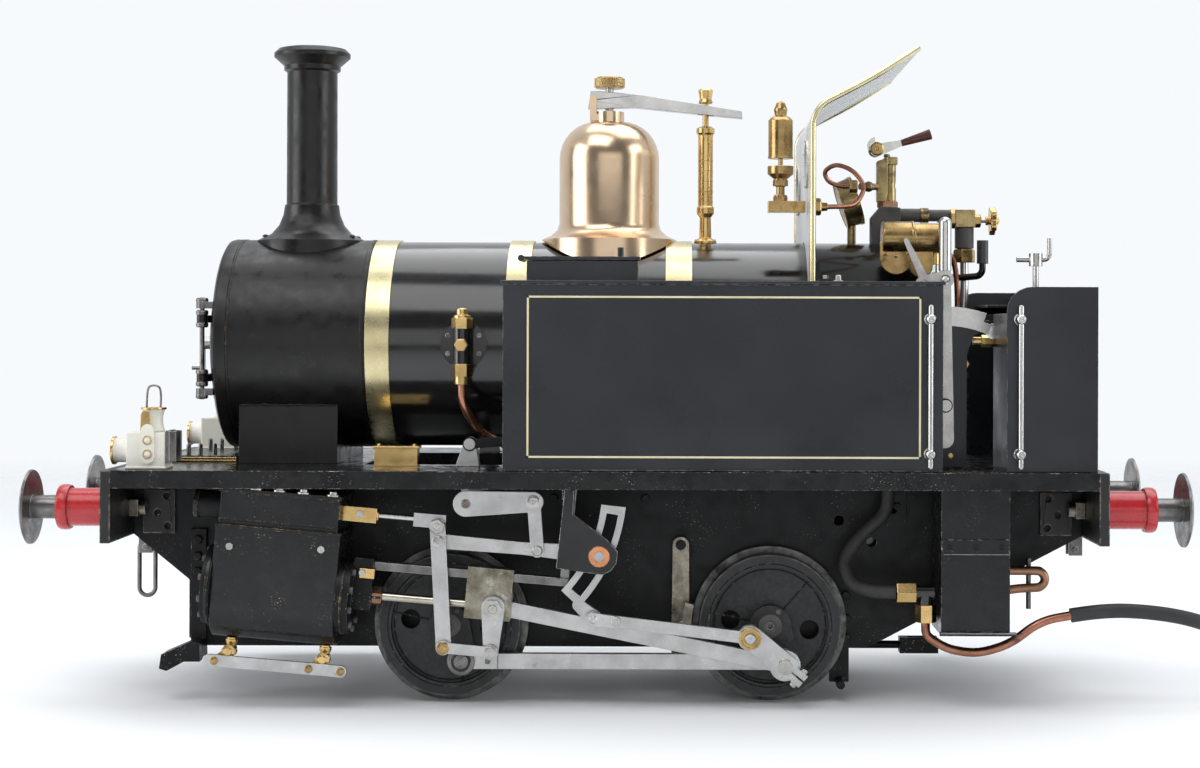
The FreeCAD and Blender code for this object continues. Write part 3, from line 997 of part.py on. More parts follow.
SIDE_NODES = {
    "coupling_rod": coupling_rod, "crosshead": crosshead, "connecting_rod": connecting_rod,
    "combination_lever": combination_lever, "union_link": union_link, "valve_spindle": valve_spindle,
    "expansion_link": expansion_link, "eccentric_rod": eccentric_rod,
}


def export(name, solids):
    for solid in solids:
        if not solid.isValid() or len(solid.Solids) != 1:
            print("check", name, solid.isValid(), len(solid.Solids))
    Part.makeCompound([s for solid in solids for s in solid.Solids]).exportStep(f"parts/{name}.step")


def main():
    os.makedirs("parts", exist_ok=True)
    for name, make in NODES.items():
        export(name, make())
    for name, make in SIDE_NODES.items():
        export(f"right_{name}", make(RIGHT))
        export(f"left_{name}", [mirror(s) for s in make(LEFT)])


main()
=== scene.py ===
"""Looks of the live steam tank engine: materials, fine detail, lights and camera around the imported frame.

Lengths in this file are millimetres in the frame of the part, until a piece is made, when they become metres.
"""

import math
import random

import bmesh
import bpy
from mathutils import Euler, Matrix, Vector
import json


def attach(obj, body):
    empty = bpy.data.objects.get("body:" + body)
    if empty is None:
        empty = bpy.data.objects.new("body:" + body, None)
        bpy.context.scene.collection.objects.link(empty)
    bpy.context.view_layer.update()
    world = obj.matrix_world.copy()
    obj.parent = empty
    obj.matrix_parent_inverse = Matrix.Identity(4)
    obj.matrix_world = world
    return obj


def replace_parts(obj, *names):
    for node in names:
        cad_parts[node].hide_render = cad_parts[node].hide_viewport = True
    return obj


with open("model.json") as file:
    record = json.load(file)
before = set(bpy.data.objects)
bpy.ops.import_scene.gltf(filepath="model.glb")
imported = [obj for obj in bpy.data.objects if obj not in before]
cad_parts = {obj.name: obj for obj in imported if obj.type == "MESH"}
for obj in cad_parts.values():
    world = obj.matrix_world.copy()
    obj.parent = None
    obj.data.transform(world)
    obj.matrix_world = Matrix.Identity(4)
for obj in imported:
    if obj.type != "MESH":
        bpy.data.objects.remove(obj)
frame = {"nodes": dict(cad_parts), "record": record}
MM = 0.001

# ---- driving dimensions, in millimetres and degrees ---------------------------------------------
AXLE_Z = 28.5
REAR_AXLE, FRONT_AXLE = 60.0, -57.5
BOILER_Z = 131.0
CLACK_X = -53.6
SLOPE_DEG = 4.8
CRANK_R = 13.5
ROD_LENGTH = 107.0
LEFT_CRANK, RIGHT_CRANK = -69.0, -159.0
HOSE_RADIUS = 2.65
scene = bpy.context.scene

# ---- camera -------------------------------------------------------------------------------------
camera = bpy.data.objects.new("camera", bpy.data.cameras.new("camera"))
scene.collection.objects.link(camera)
camera.location = (0.0248, -0.825, 0.1385)
ROLL = math.radians(0.18)
camera.rotation_euler = (Euler((math.pi / 2, 0, 0)).to_matrix() @ Matrix.Rotation(ROLL, 3, "Z")).to_euler()
camera.data.sensor_width = 36.0
camera.data.lens = 63.4
camera.data.shift_x = -0.0625
camera.data.shift_y = -0.049
scene.camera = camera


# ---- node materials -----------------------------------------------------------------------------
class Nodes:
    """Short calls for building one material's node tree."""

    def __init__(self, name):
        self.mat = bpy.data.materials.new(name)
        self.mat.use_nodes = True
        self.tree = self.mat.node_tree
        self.tree.nodes.clear()
        self.out = self.add("ShaderNodeOutputMaterial")
        self.bsdf = self.add("ShaderNodeBsdfPrincipled")
        self.tree.links.new(self.bsdf.outputs[0], self.out.inputs[0])
        self.place = self.add("ShaderNodeTexCoord").outputs["Object"]

    def add(self, kind, **settings):
        node = self.tree.nodes.new(kind)
        for key, value in settings.items():
            setattr(node, key, value)
        return node

    def put(self, socket, value):
        if isinstance(value, bpy.types.NodeSocket):
            self.tree.links.new(value, socket)
        elif isinstance(value, tuple) and len(value) == 3 and socket.type == "RGBA":
            socket.default_value = (*value, 1.0)
        else:
            socket.default_value = value

    def math(self, operation, a, b=0.0, clamp=False):
        node = self.add("ShaderNodeMath", operation=operation, use_clamp=clamp)
        self.put(node.inputs[0], a)
        self.put(node.inputs[1], b)
        return node.outputs[0]

    def noise(self, scale, detail=3.0, rough=0.55, stretch=(1.0, 1.0, 1.0), distortion=0.0):
        mapping = self.add("ShaderNodeMapping")
        self.put(mapping.inputs["Vector"], self.place)
        mapping.inputs["Scale"].default_value = stretch
        node = self.add("ShaderNodeTexNoise")
        self.put(node.inputs["Vector"], mapping.outputs[0])
        self.put(node.inputs["Scale"], scale)
        self.put(node.inputs["Detail"], detail)
        self.put(node.inputs["Roughness"], rough)
        self.put(node.inputs["Distortion"], distortion)
        return node.outputs[0]

    def remap(self, value, low, high, to_low=0.0, to_high=1.0):
        node = self.add("ShaderNodeMapRange")
        for socket, v in zip(node.inputs[:5], (value, low, high, to_low, to_high)):
            self.put(socket, v)
        return node.outputs[0]

    def mix(self, factor, a, b):
        node = self.add("ShaderNodeMix", data_type="RGBA")
        self.put(node.inputs[0], factor)
        self.put(node.inputs[6], a)
        self.put(node.inputs[7], b)
        return node.outputs[2]

    def edge(self, radius):
        """(rounded normal, 1 on outer edges and 0 on flats)."""
        bevel = self.add("ShaderNodeBevel", samples=4)
        self.put(bevel.inputs["Radius"], radius * MM)
        dot = self.add("ShaderNodeVectorMath", operation="DOT_PRODUCT")
        self.put(dot.inputs[0], bevel.outputs[0])
        self.put(dot.inputs[1], self.add("ShaderNodeNewGeometry").outputs["Normal"])
        return bevel.outputs[0], self.remap(dot.outputs["Value"], 0.985, 0.86)

    def bump(self, height, strength, distance, normal=None):
        node = self.add("ShaderNodeBump")
        self.put(node.inputs["Strength"], strength)
        self.put(node.inputs["Distance"], distance * MM)
        self.put(node.inputs["Height"], height)
        if normal is not None:
            self.put(node.inputs["Normal"], normal)
        return node.outputs[0]


MATERIALS = {}


def finish_material(n, key, slot):
    MATERIALS[key] = (n.mat, slot)


def paint(key, colour, patch, rough, slot="black_paint", grain=900.0, grain_depth=0.02, wear=None,
          wear_at=0.5,
          speck=None, patches=55.0, coat=0.0, wear_metal=0.8, edge_radius=0.5, blotch=0.12, specular=0.5):
    """Paint over metal: two close tones, a grain, dust specks, and worn edges that show what is under it."""
    n = Nodes(key)
    cloud = n.remap(n.noise(patches, 4.0, 0.6), 0.35, 0.68)
    tone = n.mix(cloud, colour, patch)
    fine = n.noise(grain, 2.0)
    gloss = n.remap(n.noise(patches * 3.1, 3.0), 0.3, 0.7, rough - blotch, rough + blotch)
    metal = 0.0
    normal, rim = n.edge(edge_radius) if wear else (None, 0.0)
    if speck:
        dots = n.remap(n.noise(1900.0, 1.0, 0.4), 0.70, 0.74)
        sparse = n.remap(n.noise(70.0, 2.0), 0.5, 0.66)
        tone = n.mix(n.math("MULTIPLY", dots, sparse), tone, speck)
    if wear:
        ragged = n.remap(n.noise(420.0, 4.0, 0.7), wear_at, wear_at + 0.1)
        worn = n.math("MULTIPLY", rim, ragged, True)
        tone = n.mix(worn, tone, wear)
        metal = n.math("MULTIPLY", worn, wear_metal)
        gloss = n.math("ADD", gloss, n.math("MULTIPLY", worn, 0.08))
    n.put(n.bsdf.inputs["Base Color"], tone)
    n.put(n.bsdf.inputs["Roughness"], gloss)
    n.put(n.bsdf.inputs["Metallic"], metal)
    n.bsdf.inputs["Specular IOR Level"].default_value = specular
    n.bsdf.inputs["Coat Weight"].default_value = coat
    n.bsdf.inputs["Coat Roughness"].default_value = 0.12
    n.put(n.bsdf.inputs["Normal"], n.bump(fine, 0.35, grain_depth, normal))
    finish_material(n, key, slot)


def metal(key, colour, dull, rough, slot="steel", brush=(1.0, 1.0, 1.0), brush_depth=0.006, stain=None,
          stain_at=0.62, bright_edge=None, patches=90.0, grain=1500.0, spread=0.10):
    """Bare metal: tool marks along one way, dull patches, oil or tarnish stains and brighter edges."""
    n = Nodes(key)
    cloud = n.remap(n.noise(patches, 4.0, 0.65), 0.38, 0.66)
    tone = n.mix(cloud, colour, dull)
    marks = n.noise(grain, 3.0, 0.6, brush)
    gloss = n.remap(n.noise(patches * 2.3, 4.0), 0.3, 0.7, rough - spread, rough + spread)
    if stain:
        oil = n.remap(n.noise(130.0, 5.0, 0.7, (1, 1, 1), 0.6), stain_at, stain_at + 0.12)
        tone = n.mix(oil, tone, stain)
        gloss = n.math("ADD", gloss, n.math("MULTIPLY", oil, 0.12))
    normal = None
    if bright_edge:
        normal, rim = n.edge(0.35)
        tone = n.mix(n.math("MULTIPLY", rim, 0.7), tone, bright_edge)
    n.put(n.bsdf.inputs["Base Color"], tone)
    n.put(n.bsdf.inputs["Roughness"], gloss)
    n.bsdf.inputs["Metallic"].default_value = 1.0
    n.put(n.bsdf.inputs["Normal"], n.bump(marks, 0.5, brush_depth, normal))
    finish_material(n, key, slot)


def wheel_paint(key, axle_x):
    """Cast wheel: rough dull black web and a machined rim that is bare along its edge."""
    n = Nodes(key)
    split = n.add("ShaderNodeSeparateXYZ")
    n.put(split.inputs[0], n.place)
    dx = n.math("SUBTRACT", split.outputs[0], axle_x * MM)
    dz = n.math("SUBTRACT", split.outputs[2], AXLE_Z * MM)
    radius = n.math("SQRT", n.math("ADD", n.math("MULTIPLY", dx, dx), n.math("MULTIPLY", dz, dz)))
    tyre = n.remap(radius, 25.35 * MM, 25.75 * MM)
    web = n.remap(radius, 21.3 * MM, 21.5 * MM, 1.0, 0.0)
    cast = n.noise(520.0, 5.0, 0.7)
    black = n.mix(n.remap(cast, 0.4, 0.7), (0.0045, 0.0048, 0.0052), (0.018, 0.0185, 0.0195))
    steel = n.mix(n.remap(n.noise(240.0, 4.0, 0.6), 0.35, 0.7), (0.16, 0.157, 0.152), (0.030, 0.029, 0.028))
    normal, rim = n.edge(0.5)
    chips = n.math("MULTIPLY", rim, n.remap(n.noise(700.0, 4.0, 0.7), 0.5, 0.6), True)
    n.put(n.bsdf.inputs["Base Color"], n.mix(n.math("MAXIMUM", tyre, n.math("MULTIPLY", chips, 0.75)), black,
                                             steel))
    n.put(n.bsdf.inputs["Metallic"], n.math("MAXIMUM", tyre, n.math("MULTIPLY", chips, 0.6)))
    n.put(n.bsdf.inputs["Roughness"], n.remap(n.noise(300.0, 3.0), 0.3, 0.7, 0.30, 0.52))
    relief = n.math("MULTIPLY", cast, n.math("ADD", n.math("MULTIPLY", web, 0.85), 0.15))
    n.put(n.bsdf.inputs["Normal"], n.bump(relief, 0.8, 0.25, normal))
    finish_material(n, key, "cast_iron")


STEEL_EDGE = (0.75, 0.74, 0.72)
BRASS_UNDER = (0.72, 0.50, 0.24)

paint("tank", (0.0045, 0.0053, 0.0075), (0.0165, 0.0190, 0.0245), 0.31, specular=0.5, patches=13.0,
      grain=430.0, grain_depth=0.075,
      wear=(0.42, 0.42, 0.40), wear_at=0.47, edge_radius=0.35, blotch=0.08)
paint("deck", (0.0032, 0.0035, 0.0042), (0.007, 0.0075, 0.0085), 0.24, specular=0.36, wear=(0.46, 0.45, 0.43),
      wear_at=0.52,
      speck=(0.30, 0.29, 0.27))
paint("frame", (0.0026, 0.0028, 0.0032), (0.007, 0.0073, 0.008), 0.42, specular=0.24,
      speck=(0.38, 0.36, 0.33), grain_depth=0.05,
      wear=(0.42, 0.40, 0.38), wear_at=0.55)
paint("beam", (0.008, 0.0082, 0.009), (0.022, 0.0205, 0.020), 0.42, specular=0.4, wear=(0.40, 0.32, 0.29),
      wear_at=0.44,
      grain_depth=0.06, wear_metal=0.4, edge_radius=0.9)
paint("gloss", (0.0035, 0.0035, 0.004), (0.007, 0.0065, 0.006), 0.17, coat=0.5, grain=380.0,
      grain_depth=0.012,
      blotch=0.05)
paint("smokebox", (0.0034, 0.0031, 0.0030), (0.0078, 0.0064, 0.0056), 0.36, specular=0.42, grain=1300.0,
      grain_depth=0.03,
      wear=(0.16, 0.11, 0.07), wear_at=0.56)
paint("cladding", (0.0034, 0.0037, 0.0043), (0.0085, 0.009, 0.010), 0.27, specular=0.40, wear=BRASS_UNDER,
      wear_at=0.53,
      speck=(0.42, 0.36, 0.22), edge_radius=0.45)
paint("bracket", (0.007, 0.0078, 0.009), (0.015, 0.0163, 0.018), 0.34, specular=0.42, wear=(0.70, 0.68, 0.65),
      wear_at=0.40,
      edge_radius=0.45)
paint("casting", (0.040, 0.038, 0.037), (0.11, 0.105, 0.10), 0.55, grain=700.0, grain_depth=0.16,
      wear=(0.36, 0.34, 0.32), wear_at=0.5)
paint("red", (0.46, 0.012, 0.018), (0.56, 0.022, 0.028), 0.28, slot="red_paint", coat=0.35, grain=500.0,
      grain_depth=0.03, wear=(0.10, 0.01, 0.01), wear_at=0.6, wear_metal=0.0, blotch=0.06)
paint("cream", (0.80, 0.79, 0.72), (0.70, 0.68, 0.60), 0.38, slot="white_paint", grain=800.0,
      grain_depth=0.05,
      speck=(0.34, 0.28, 0.16), wear=(0.45, 0.33, 0.16), wear_at=0.55, wear_metal=0.5)
paint("lining", (0.74, 0.68, 0.46), (0.62, 0.54, 0.33), 0.42, slot="white_paint", grain=1400.0,
      grain_depth=0.01)
paint("rubber", (0.014, 0.0145, 0.016), (0.024, 0.025, 0.027), 0.55, slot="rubber", grain=1600.0,
      grain_depth=0.02)
paint("lagging", (0.010, 0.010, 0.010), (0.030, 0.029, 0.028), 0.62, slot="rubber", grain=1100.0,
      grain_depth=0.12)
paint("wood", (0.055, 0.013, 0.010), (0.11, 0.028, 0.018), 0.40, slot="wood", grain=700.0, grain_depth=0.05)
paint("soot", (0.004, 0.004, 0.004), (0.012, 0.011, 0.010), 0.7, grain_depth=0.08)
paint("dial", (0.80, 0.80, 0.76), (0.70, 0.69, 0.62), 0.35, slot="white_paint", grain_depth=0.005)

metal("steel", (0.53, 0.53, 0.525), (0.41, 0.405, 0.40), 0.34, brush=(1.0, 1.0, 14.0),
      stain=(0.20, 0.16, 0.11),
      stain_at=0.66, bright_edge=(0.64, 0.64, 0.63))
metal("steel_dark", (0.24, 0.23, 0.225), (0.12, 0.115, 0.11), 0.34, brush=(1.0, 1.0, 10.0),
      stain=(0.06, 0.05, 0.045), stain_at=0.58, bright_edge=STEEL_EDGE)
metal("patina", (0.30, 0.275, 0.22), (0.13, 0.11, 0.08), 0.33, stain=(0.52, 0.51, 0.47), stain_at=0.60,
      bright_edge=STEEL_EDGE, patches=170.0)
metal("bolt", (0.54, 0.53, 0.51), (0.40, 0.39, 0.37), 0.30, stain=(0.20, 0.17, 0.13), stain_at=0.64,
      brush_depth=0.002)
metal("nickel", (0.62, 0.615, 0.60), (0.50, 0.495, 0.48), 0.24, slot="nickel", brush_depth=0.0, spread=0.05)
metal("brass", (0.72, 0.50, 0.21), (0.54, 0.36, 0.14), 0.24, slot="brass", stain=(0.30, 0.18, 0.07),
      stain_at=0.64, bright_edge=(0.82, 0.68, 0.40), spread=0.07)
metal("brass_aged", (0.47, 0.32, 0.135), (0.26, 0.17, 0.075), 0.27, slot="brass", stain=(0.14, 0.085, 0.04),
      stain_at=0.60, bright_edge=(0.90, 0.70, 0.36), spread=0.07)
metal("beading", (0.70, 0.64, 0.42), (0.60, 0.53, 0.31), 0.26, slot="brass", brush_depth=0.001, spread=0.05)
metal("bands", (0.70, 0.62, 0.38), (0.62, 0.53, 0.30), 0.28, slot="brass", brush=(1.0, 8.0, 8.0),
      brush_depth=0.002,
      spread=0.04)
metal("tarnish", (0.44, 0.34, 0.16), (0.17, 0.13, 0.075), 0.34, slot="brass", stain=(0.075, 0.062, 0.046),
      stain_at=0.54, bright_edge=(0.80, 0.62, 0.30))
metal("bronze", (0.74, 0.56, 0.39), (0.69, 0.50, 0.33), 0.24, slot="brass", brush=(1.0, 1.0, 30.0),
      brush_depth=0.003, spread=0.04, patches=50.0)
metal("gland", (0.36, 0.20, 0.12), (0.20, 0.11, 0.07), 0.34, slot="brass", bright_edge=(0.62, 0.40, 0.26))
metal("copper", (0.46, 0.215, 0.14), (0.30, 0.13, 0.085), 0.30, slot="brass", stain=(0.11, 0.055, 0.04),
      stain_at=0.6, bright_edge=(0.75, 0.42, 0.30))
metal("copper_bright", (0.80, 0.36, 0.18), (0.62, 0.26, 0.12), 0.30, slot="brass",
      bright_edge=(0.95, 0.55, 0.32))
paint("grip", (0.030, 0.031, 0.033), (0.045, 0.046, 0.048), 0.34, wear=(0.4, 0.4, 0.4), wear_at=0.55)
paint("plate", (0.66, 0.67, 0.67), (0.62, 0.63, 0.63), 0.36, slot="nickel", grain=300.0, grain_depth=0.0005,
      blotch=0.03)
metal("rod", (0.52, 0.49, 0.42), (0.40, 0.36, 0.28), 0.20, brush_depth=0.002)
wheel_paint("rear_wheel", REAR_AXLE)
wheel_paint("front_wheel", FRONT_AXLE)


def make_glass():
    n = Nodes("glass")
    smear = n.noise(60.0, 4.0)
    n.put(n.bsdf.inputs["Base Color"], n.mix(n.remap(smear, 0.3, 0.7), (0.94, 0.96, 0.96),
                                             (0.86, 0.90, 0.90)))
    n.put(n.bsdf.inputs["Roughness"], n.remap(smear, 0.3, 0.7, 0.02, 0.08))
    n.bsdf.inputs["Transmission Weight"].default_value = 1.0
    n.bsdf.inputs["IOR"].default_value = 1.45
    finish_material(n, "glass", "white_paint")


make_glass()


# ---- pieces -------------------------------------------------------------------------------------
NODE_BODY = {node: body for body, nodes in frame["record"]["behaviour"]["bodies"].items() for node in nodes}


def shade(mesh, degrees):
    """Smooth faces, with sharp edges wherever two faces meet at more than this."""
    bm = bmesh.new()
    bm.from_mesh(mesh)
    limit = math.radians(degrees)
    for face in bm.faces:
        face.smooth = True
    for edge in bm.edges:
        edge.smooth = len(edge.link_faces) == 2 and edge.calc_face_angle(0.0) < limit
    bm.to_mesh(mesh)
    bm.free()


def piece(name, mesh, material, body="engine", bevel=0.0, degrees=32.0, segments=2):
    """Makes the object, gives it its material and its body."""
    shade(mesh, degrees)
    obj = bpy.data.objects.new(name, mesh)
    scene.collection.objects.link(obj)
    mat, slot = MATERIALS[material]
    mesh.materials.clear()
    mesh.materials.append(mat)
    if bevel:
        mod = obj.modifiers.new("edges", "BEVEL")
        mod.width = bevel * MM
        mod.segments = segments
        mod.limit_method = "ANGLE"
        mod.angle_limit = math.radians(degrees)
        mod.harden_normals = True
    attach(obj, body)
    return obj


def solids(node):
    """The node's separate solids, each as (its bmesh, lowest corner, highest corner) in millimetres."""
    bm = bmesh.new()
    bm.from_mesh(frame["nodes"][node].data)
    bmesh.ops.remove_doubles(bm, verts=bm.verts, dist=2e-6)
    bmesh.ops.dissolve_degenerate(bm, edges=bm.edges, dist=1e-6)
    seen, found = set(), []
    for start in bm.verts:
        if start in seen:
            continue
        group, stack = [], [start]
        seen.add(start)
        while stack:
            vert = stack.pop()
            group.append(vert)
            for edge in vert.link_edges:
                other = edge.other_vert(vert)
                if other not in seen:
                    seen.add(other)
                    stack.append(other)
        found.append(group)
    out = []
    for group in found:
        lo = [min(v.co[k] for v in group) / MM for k in range(3)]
        hi = [max(v.co[k] for v in group) / MM for k in range(3)]
        faces = dict.fromkeys(f for v in group for f in v.link_faces)
        new = bmesh.new()
        copy = {v: new.verts.new(v.co) for v in group}
        for face in faces:
            try:
                new.faces.new([copy[v] for v in face.verts])
            except ValueError:
                pass
        out.append((new, lo, hi))
    bm.free()
    return out


def dress(node, rule, bevel=0.15, degrees=32.0, skip=None):
    """Gives each solid of a CAD node its own material. Solids of one material become one piece."""
    groups = {}
    for bm, lo, hi in solids(node):
        mid = [(a + b) / 2 for a, b in zip(lo, hi)]
        size = [b - a for a, b in zip(lo, hi)]
        key = rule(mid, size) if callable(rule) else rule
        if key is None:
            bm.free()
            continue
        groups.setdefault(key, []).append(bm)
    first = None
    for key in sorted(groups):
        mesh = bpy.data.meshes.new(f"{node}_{key}")
        whole = bmesh.new()
        for bm in groups[key]:
            part = bpy.data.meshes.new("part")
            bm.to_mesh(part)
            whole.from_mesh(part)
            bm.free()
            bpy.data.meshes.remove(part)
        whole.to_mesh(mesh)
        whole.free()
        made = piece(f"{node}_{key}", mesh, key, NODE_BODY[node], bevel, degrees)
        first = first or made
    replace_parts(first, node)
    return first


def catmull(points, steps):
    out = []
    pts = [2 * points[0] - points[1]] + points + [2 * points[-1] - points[-2]]
    for a, b, c, d in zip(pts, pts[1:], pts[2:], pts[3:]):
        for k in range(steps):
            t = k / steps
            out.append(0.5 * ((2 * b) + (c - a) * t + (2 * a - 5 * b + 4 * c - d) * t * t
                              + (3 * b - a - 3 * c + d) * t ** 3))
    out.append(points[-1])
    return out


class Kit:
    """Gathers shapes in millimetres into one mesh."""

    def __init__(self):
        self.bm = bmesh.new()

    def place(self, origin, axis):
        turn = Vector((0, 0, 1)).rotation_difference(Vector(axis).normalized()).to_matrix().to_4x4()
        return Matrix.Translation(Vector(origin)) @ turn

    def lathe(self, profile, origin, axis=(0, 0, 1), seg=48, start=0.0):
        """A turned shape from (radius, height) points, from one end of its axis to the other."""
        put = self.place(origin, axis)
        rings = []
        for r, h in profile:
            if r < 1e-6:
                rings.append([self.bm.verts.new(put @ Vector((0, 0, h)))])
                continue
            turns = [start + 2 * math.pi * k / seg for k in range(seg)]
            rings.append([self.bm.verts.new(put @ Vector((r * math.cos(t), r * math.sin(t),
                                                          h))) for t in turns])
        for low, high in zip(rings, rings[1:]):
            for k in range(seg):
                ring = [low[k % len(low)], low[(k + 1) % len(low)], high[(k + 1) % len(high)],
                        high[k % len(high)]]
                corners = list(dict.fromkeys(ring))
                if len(corners) > 2:
                    self.bm.faces.new(corners)
        return self

    def disc(self, r, h, origin, axis=(0, 0, 1), seg=48):
        """A plain round bar or plate with square ends."""
        return self.lathe([(0, 0), (r, 0), (r, h), (0, h)], origin, axis, seg)

    def ring(self, inner, outer, low, high, origin, axis=(0, 0, 1), seg=64):
        """A plain ring with square edges."""
        put = self.place(origin, axis)
        loops = []
        for r, h in ((inner, low), (outer, low), (outer, high), (inner, high)):
            turns = [2 * math.pi * k / seg for k in range(seg)]
            loops.append([self.bm.verts.new(put @ Vector((r * math.cos(t), r * math.sin(t),
                                                          h))) for t in turns])
        for a, b in zip(loops, loops[1:] + loops[:1]):
            for k in range(seg):
                self.bm.faces.new((a[k], a[(k + 1) % seg], b[(k + 1) % seg], b[k]))
        return self

    def prism(self, points, low, high, along="y"):
        """A flat plate: (x, z) points along y, (y, z) points along x, or (x, y) points along z."""
        spot = {"y": lambda p, h: (p[0], h, p[1]), "x": lambda p, h: (h, p[0], p[1]),
                "z": lambda p, h: (p[0], p[1], h)}[along]
        bottom = [self.bm.verts.new(spot(p, low)) for p in points]
        top = [self.bm.verts.new(spot(p, high)) for p in points]
        self.bm.faces.new(bottom)
        self.bm.faces.new(top)
        for k in range(len(points)):
            j = (k + 1) % len(points)
            self.bm.faces.new((bottom[k], bottom[j], top[j], top[k]))
        return self

    def box(self, x0, x1, y0, y1, z0, z1):
        return self.prism([(x0, z0), (x1, z0), (x1, z1), (x0, z1)], y0, y1)

    def hexagon(self, origin, axis, r, h, start=0.0):
        """A chamfered hexagon nut."""
        outline = [(0, 0), (r, 0), (r, 0.84 * h), (0.88 * r, h), (0, h)]
        return self.lathe(outline, origin, axis, 6, start)

    def slotted(self, origin, axis, r, h, turn=0.4):
        """A cheese head screw with its slot."""
        put = self.place(origin, axis) @ Matrix.Rotation(turn, 4, "Z")
        self.lathe([(0, 0), (r, 0), (r, 0.6 * h), (0, 0.6 * h)], origin, axis, 24)
        for side in (-1, 1):
            first = math.asin(0.17)
            turns = [first + (math.pi - 2 * first) * k / 10 for k in range(11)]
            low = [self.bm.verts.new(put @ Vector((r * math.cos(t), side * r * math.sin(t),
                                                   0.6 * h))) for t in turns]
            high = [self.bm.verts.new(put @ Vector((0.9 * r * math.cos(t), side * 0.93 * r * math.sin(t), h)))
                    for t in turns]
            self.bm.faces.new(low)
            self.bm.faces.new(high)
            for k in range(11):
                j = (k + 1) % 11
                self.bm.faces.new((low[k], low[j], high[j], high[k]))
        return self

    def rivet(self, origin, axis, r, h):
        turns = [k * math.pi / 10 for k in range(6)]
        return self.lathe([(0, 0)] + [(r * math.cos(t), h * math.sin(t)) for t in turns][:-1] + [(0, h)],
                          origin, axis, 20)

    def tube(self, route, r, seg=16, steps=10, widths=None):
        """A round bar along a smooth line through the points."""
        line = catmull([Vector(p) for p in route], steps) if steps > 1 else [Vector(p) for p in route]
        way = (line[1] - line[0]).normalized()
        side = way.orthogonal().normalized()
        rings = []
        for k, p in enumerate(line):
            ahead = line[min(k + 1, len(line) - 1)] - line[max(k - 1, 0)]
            new = ahead.normalized()
            side = (way.rotation_difference(new) @ side).normalized()
            way = new
            across = way.cross(side)
            size = r * (widths(k / (len(line) - 1)) if widths else 1.0)
            rings.append([self.bm.verts.new(p + size * (side * math.cos(2 * math.pi * j / seg)
                                                       + across * math.sin(2 * math.pi * j / seg)))
                          for j in range(seg)])
        for a, b in zip(rings, rings[1:]):
            for j in range(seg):
                self.bm.faces.new((a[j], a[(j + 1) % seg], b[(j + 1) % seg], b[j]))
        self.bm.faces.new(rings[0])
        self.bm.faces.new(rings[-1])
        return self

    def capsule(self, p, q, rp, rq, low, high, steps=12):
        """A link with round ends in the XZ plane, tangent sided."""
        dx, dz = q[0] - p[0], q[1] - p[1]
        base = math.atan2(dz, dx)
        lean = math.acos(max(-1.0, min(1.0, (rp - rq) / math.hypot(dx, dz))))
        points = []
        for centre, r, a0, a1 in ((q, rq, base - lean, base + lean),
                                  (p, rp, base + lean, base + 2 * math.pi - lean)):
            for k in range(steps + 1):
                t = a0 + (a1 - a0) * k / steps
                points.append((centre[0] + r * math.cos(t), centre[1] + r * math.sin(t)))
        return self.prism(points, low, high)

    def move(self, matrix):
        bmesh.ops.transform(self.bm, matrix=matrix, verts=self.bm.verts)
        return self

    def mirror(self):
        """Adds the same shapes on the other side of the engine."""
        part = bpy.data.meshes.new("part")
        self.bm.to_mesh(part)
        part.transform(Matrix.Scale(-1, 4, (0, 1, 0)))
        self.bm.from_mesh(part)
        bpy.data.meshes.remove(part)
        return self

    def mesh(self, name):
        """The shapes as one mesh in metres."""
        bmesh.ops.recalc_face_normals(self.bm, faces=self.bm.faces)
        mesh = bpy.data.meshes.new(name)
        self.bm.to_mesh(mesh)
        self.bm.free()
        mesh.transform(Matrix.Scale(MM, 4))
        return mesh

    def make(self, name, material, body="engine", bevel=0.0, degrees=32.0):
        return piece(name, self.mesh(name), material, body, bevel, degrees)


SLOPE = (Matrix.Translation((REAR_AXLE, 0, AXLE_Z)) @ Matrix.Rotation(math.radians(SLOPE_DEG), 4, "Y")
         @ Matrix.Translation((-REAR_AXLE, 0, -AXLE_Z)))
NEAR = (0, -1, 0)

# ---- the feed hose ------------------------------------------------------------------------------
HOSE_ROUTE = [(168.0, -62.0, 34.125), (180.0, -62.0, 36.225), (198.0, -61.5, 35.4), (214.0, -60.0, 32.4),
              (229.0, -55.0, 26.0), (242.0, -46.0, 15.0), (250.0, -31.0, 5.2), (254.0, -14.0, 3.0),
              (254.0, 4.0, 3.0), (251.0, 20.0, 3.0)]


def feed_hose():
    curve = bpy.data.curves.new("feed_hose_rubber", "CURVE")
    curve.dimensions = "3D"
    spline = curve.splines.new("NURBS")
    spline.points.add(len(HOSE_ROUTE) - 1)
    for point, spot in zip(spline.points, HOSE_ROUTE):
        point.co = (*(c * MM for c in spot), 1.0)
    spline.order_u = 3
    spline.use_endpoint_u = True
    spline.resolution_u = 16
    curve.bevel_depth = HOSE_RADIUS * MM
    curve.bevel_resolution = 8
    curve.use_fill_caps = True
    hose = bpy.data.objects.new("feed_hose_rubber", curve)
    scene.collection.objects.link(hose)
    curve.materials.append(MATERIALS["rubber"][0])
    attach(hose, "engine")
    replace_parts(hose, "feed_hose")
    return hose


hose = feed_hose()
tail = dress("hose_tail", "brass", 0.1)

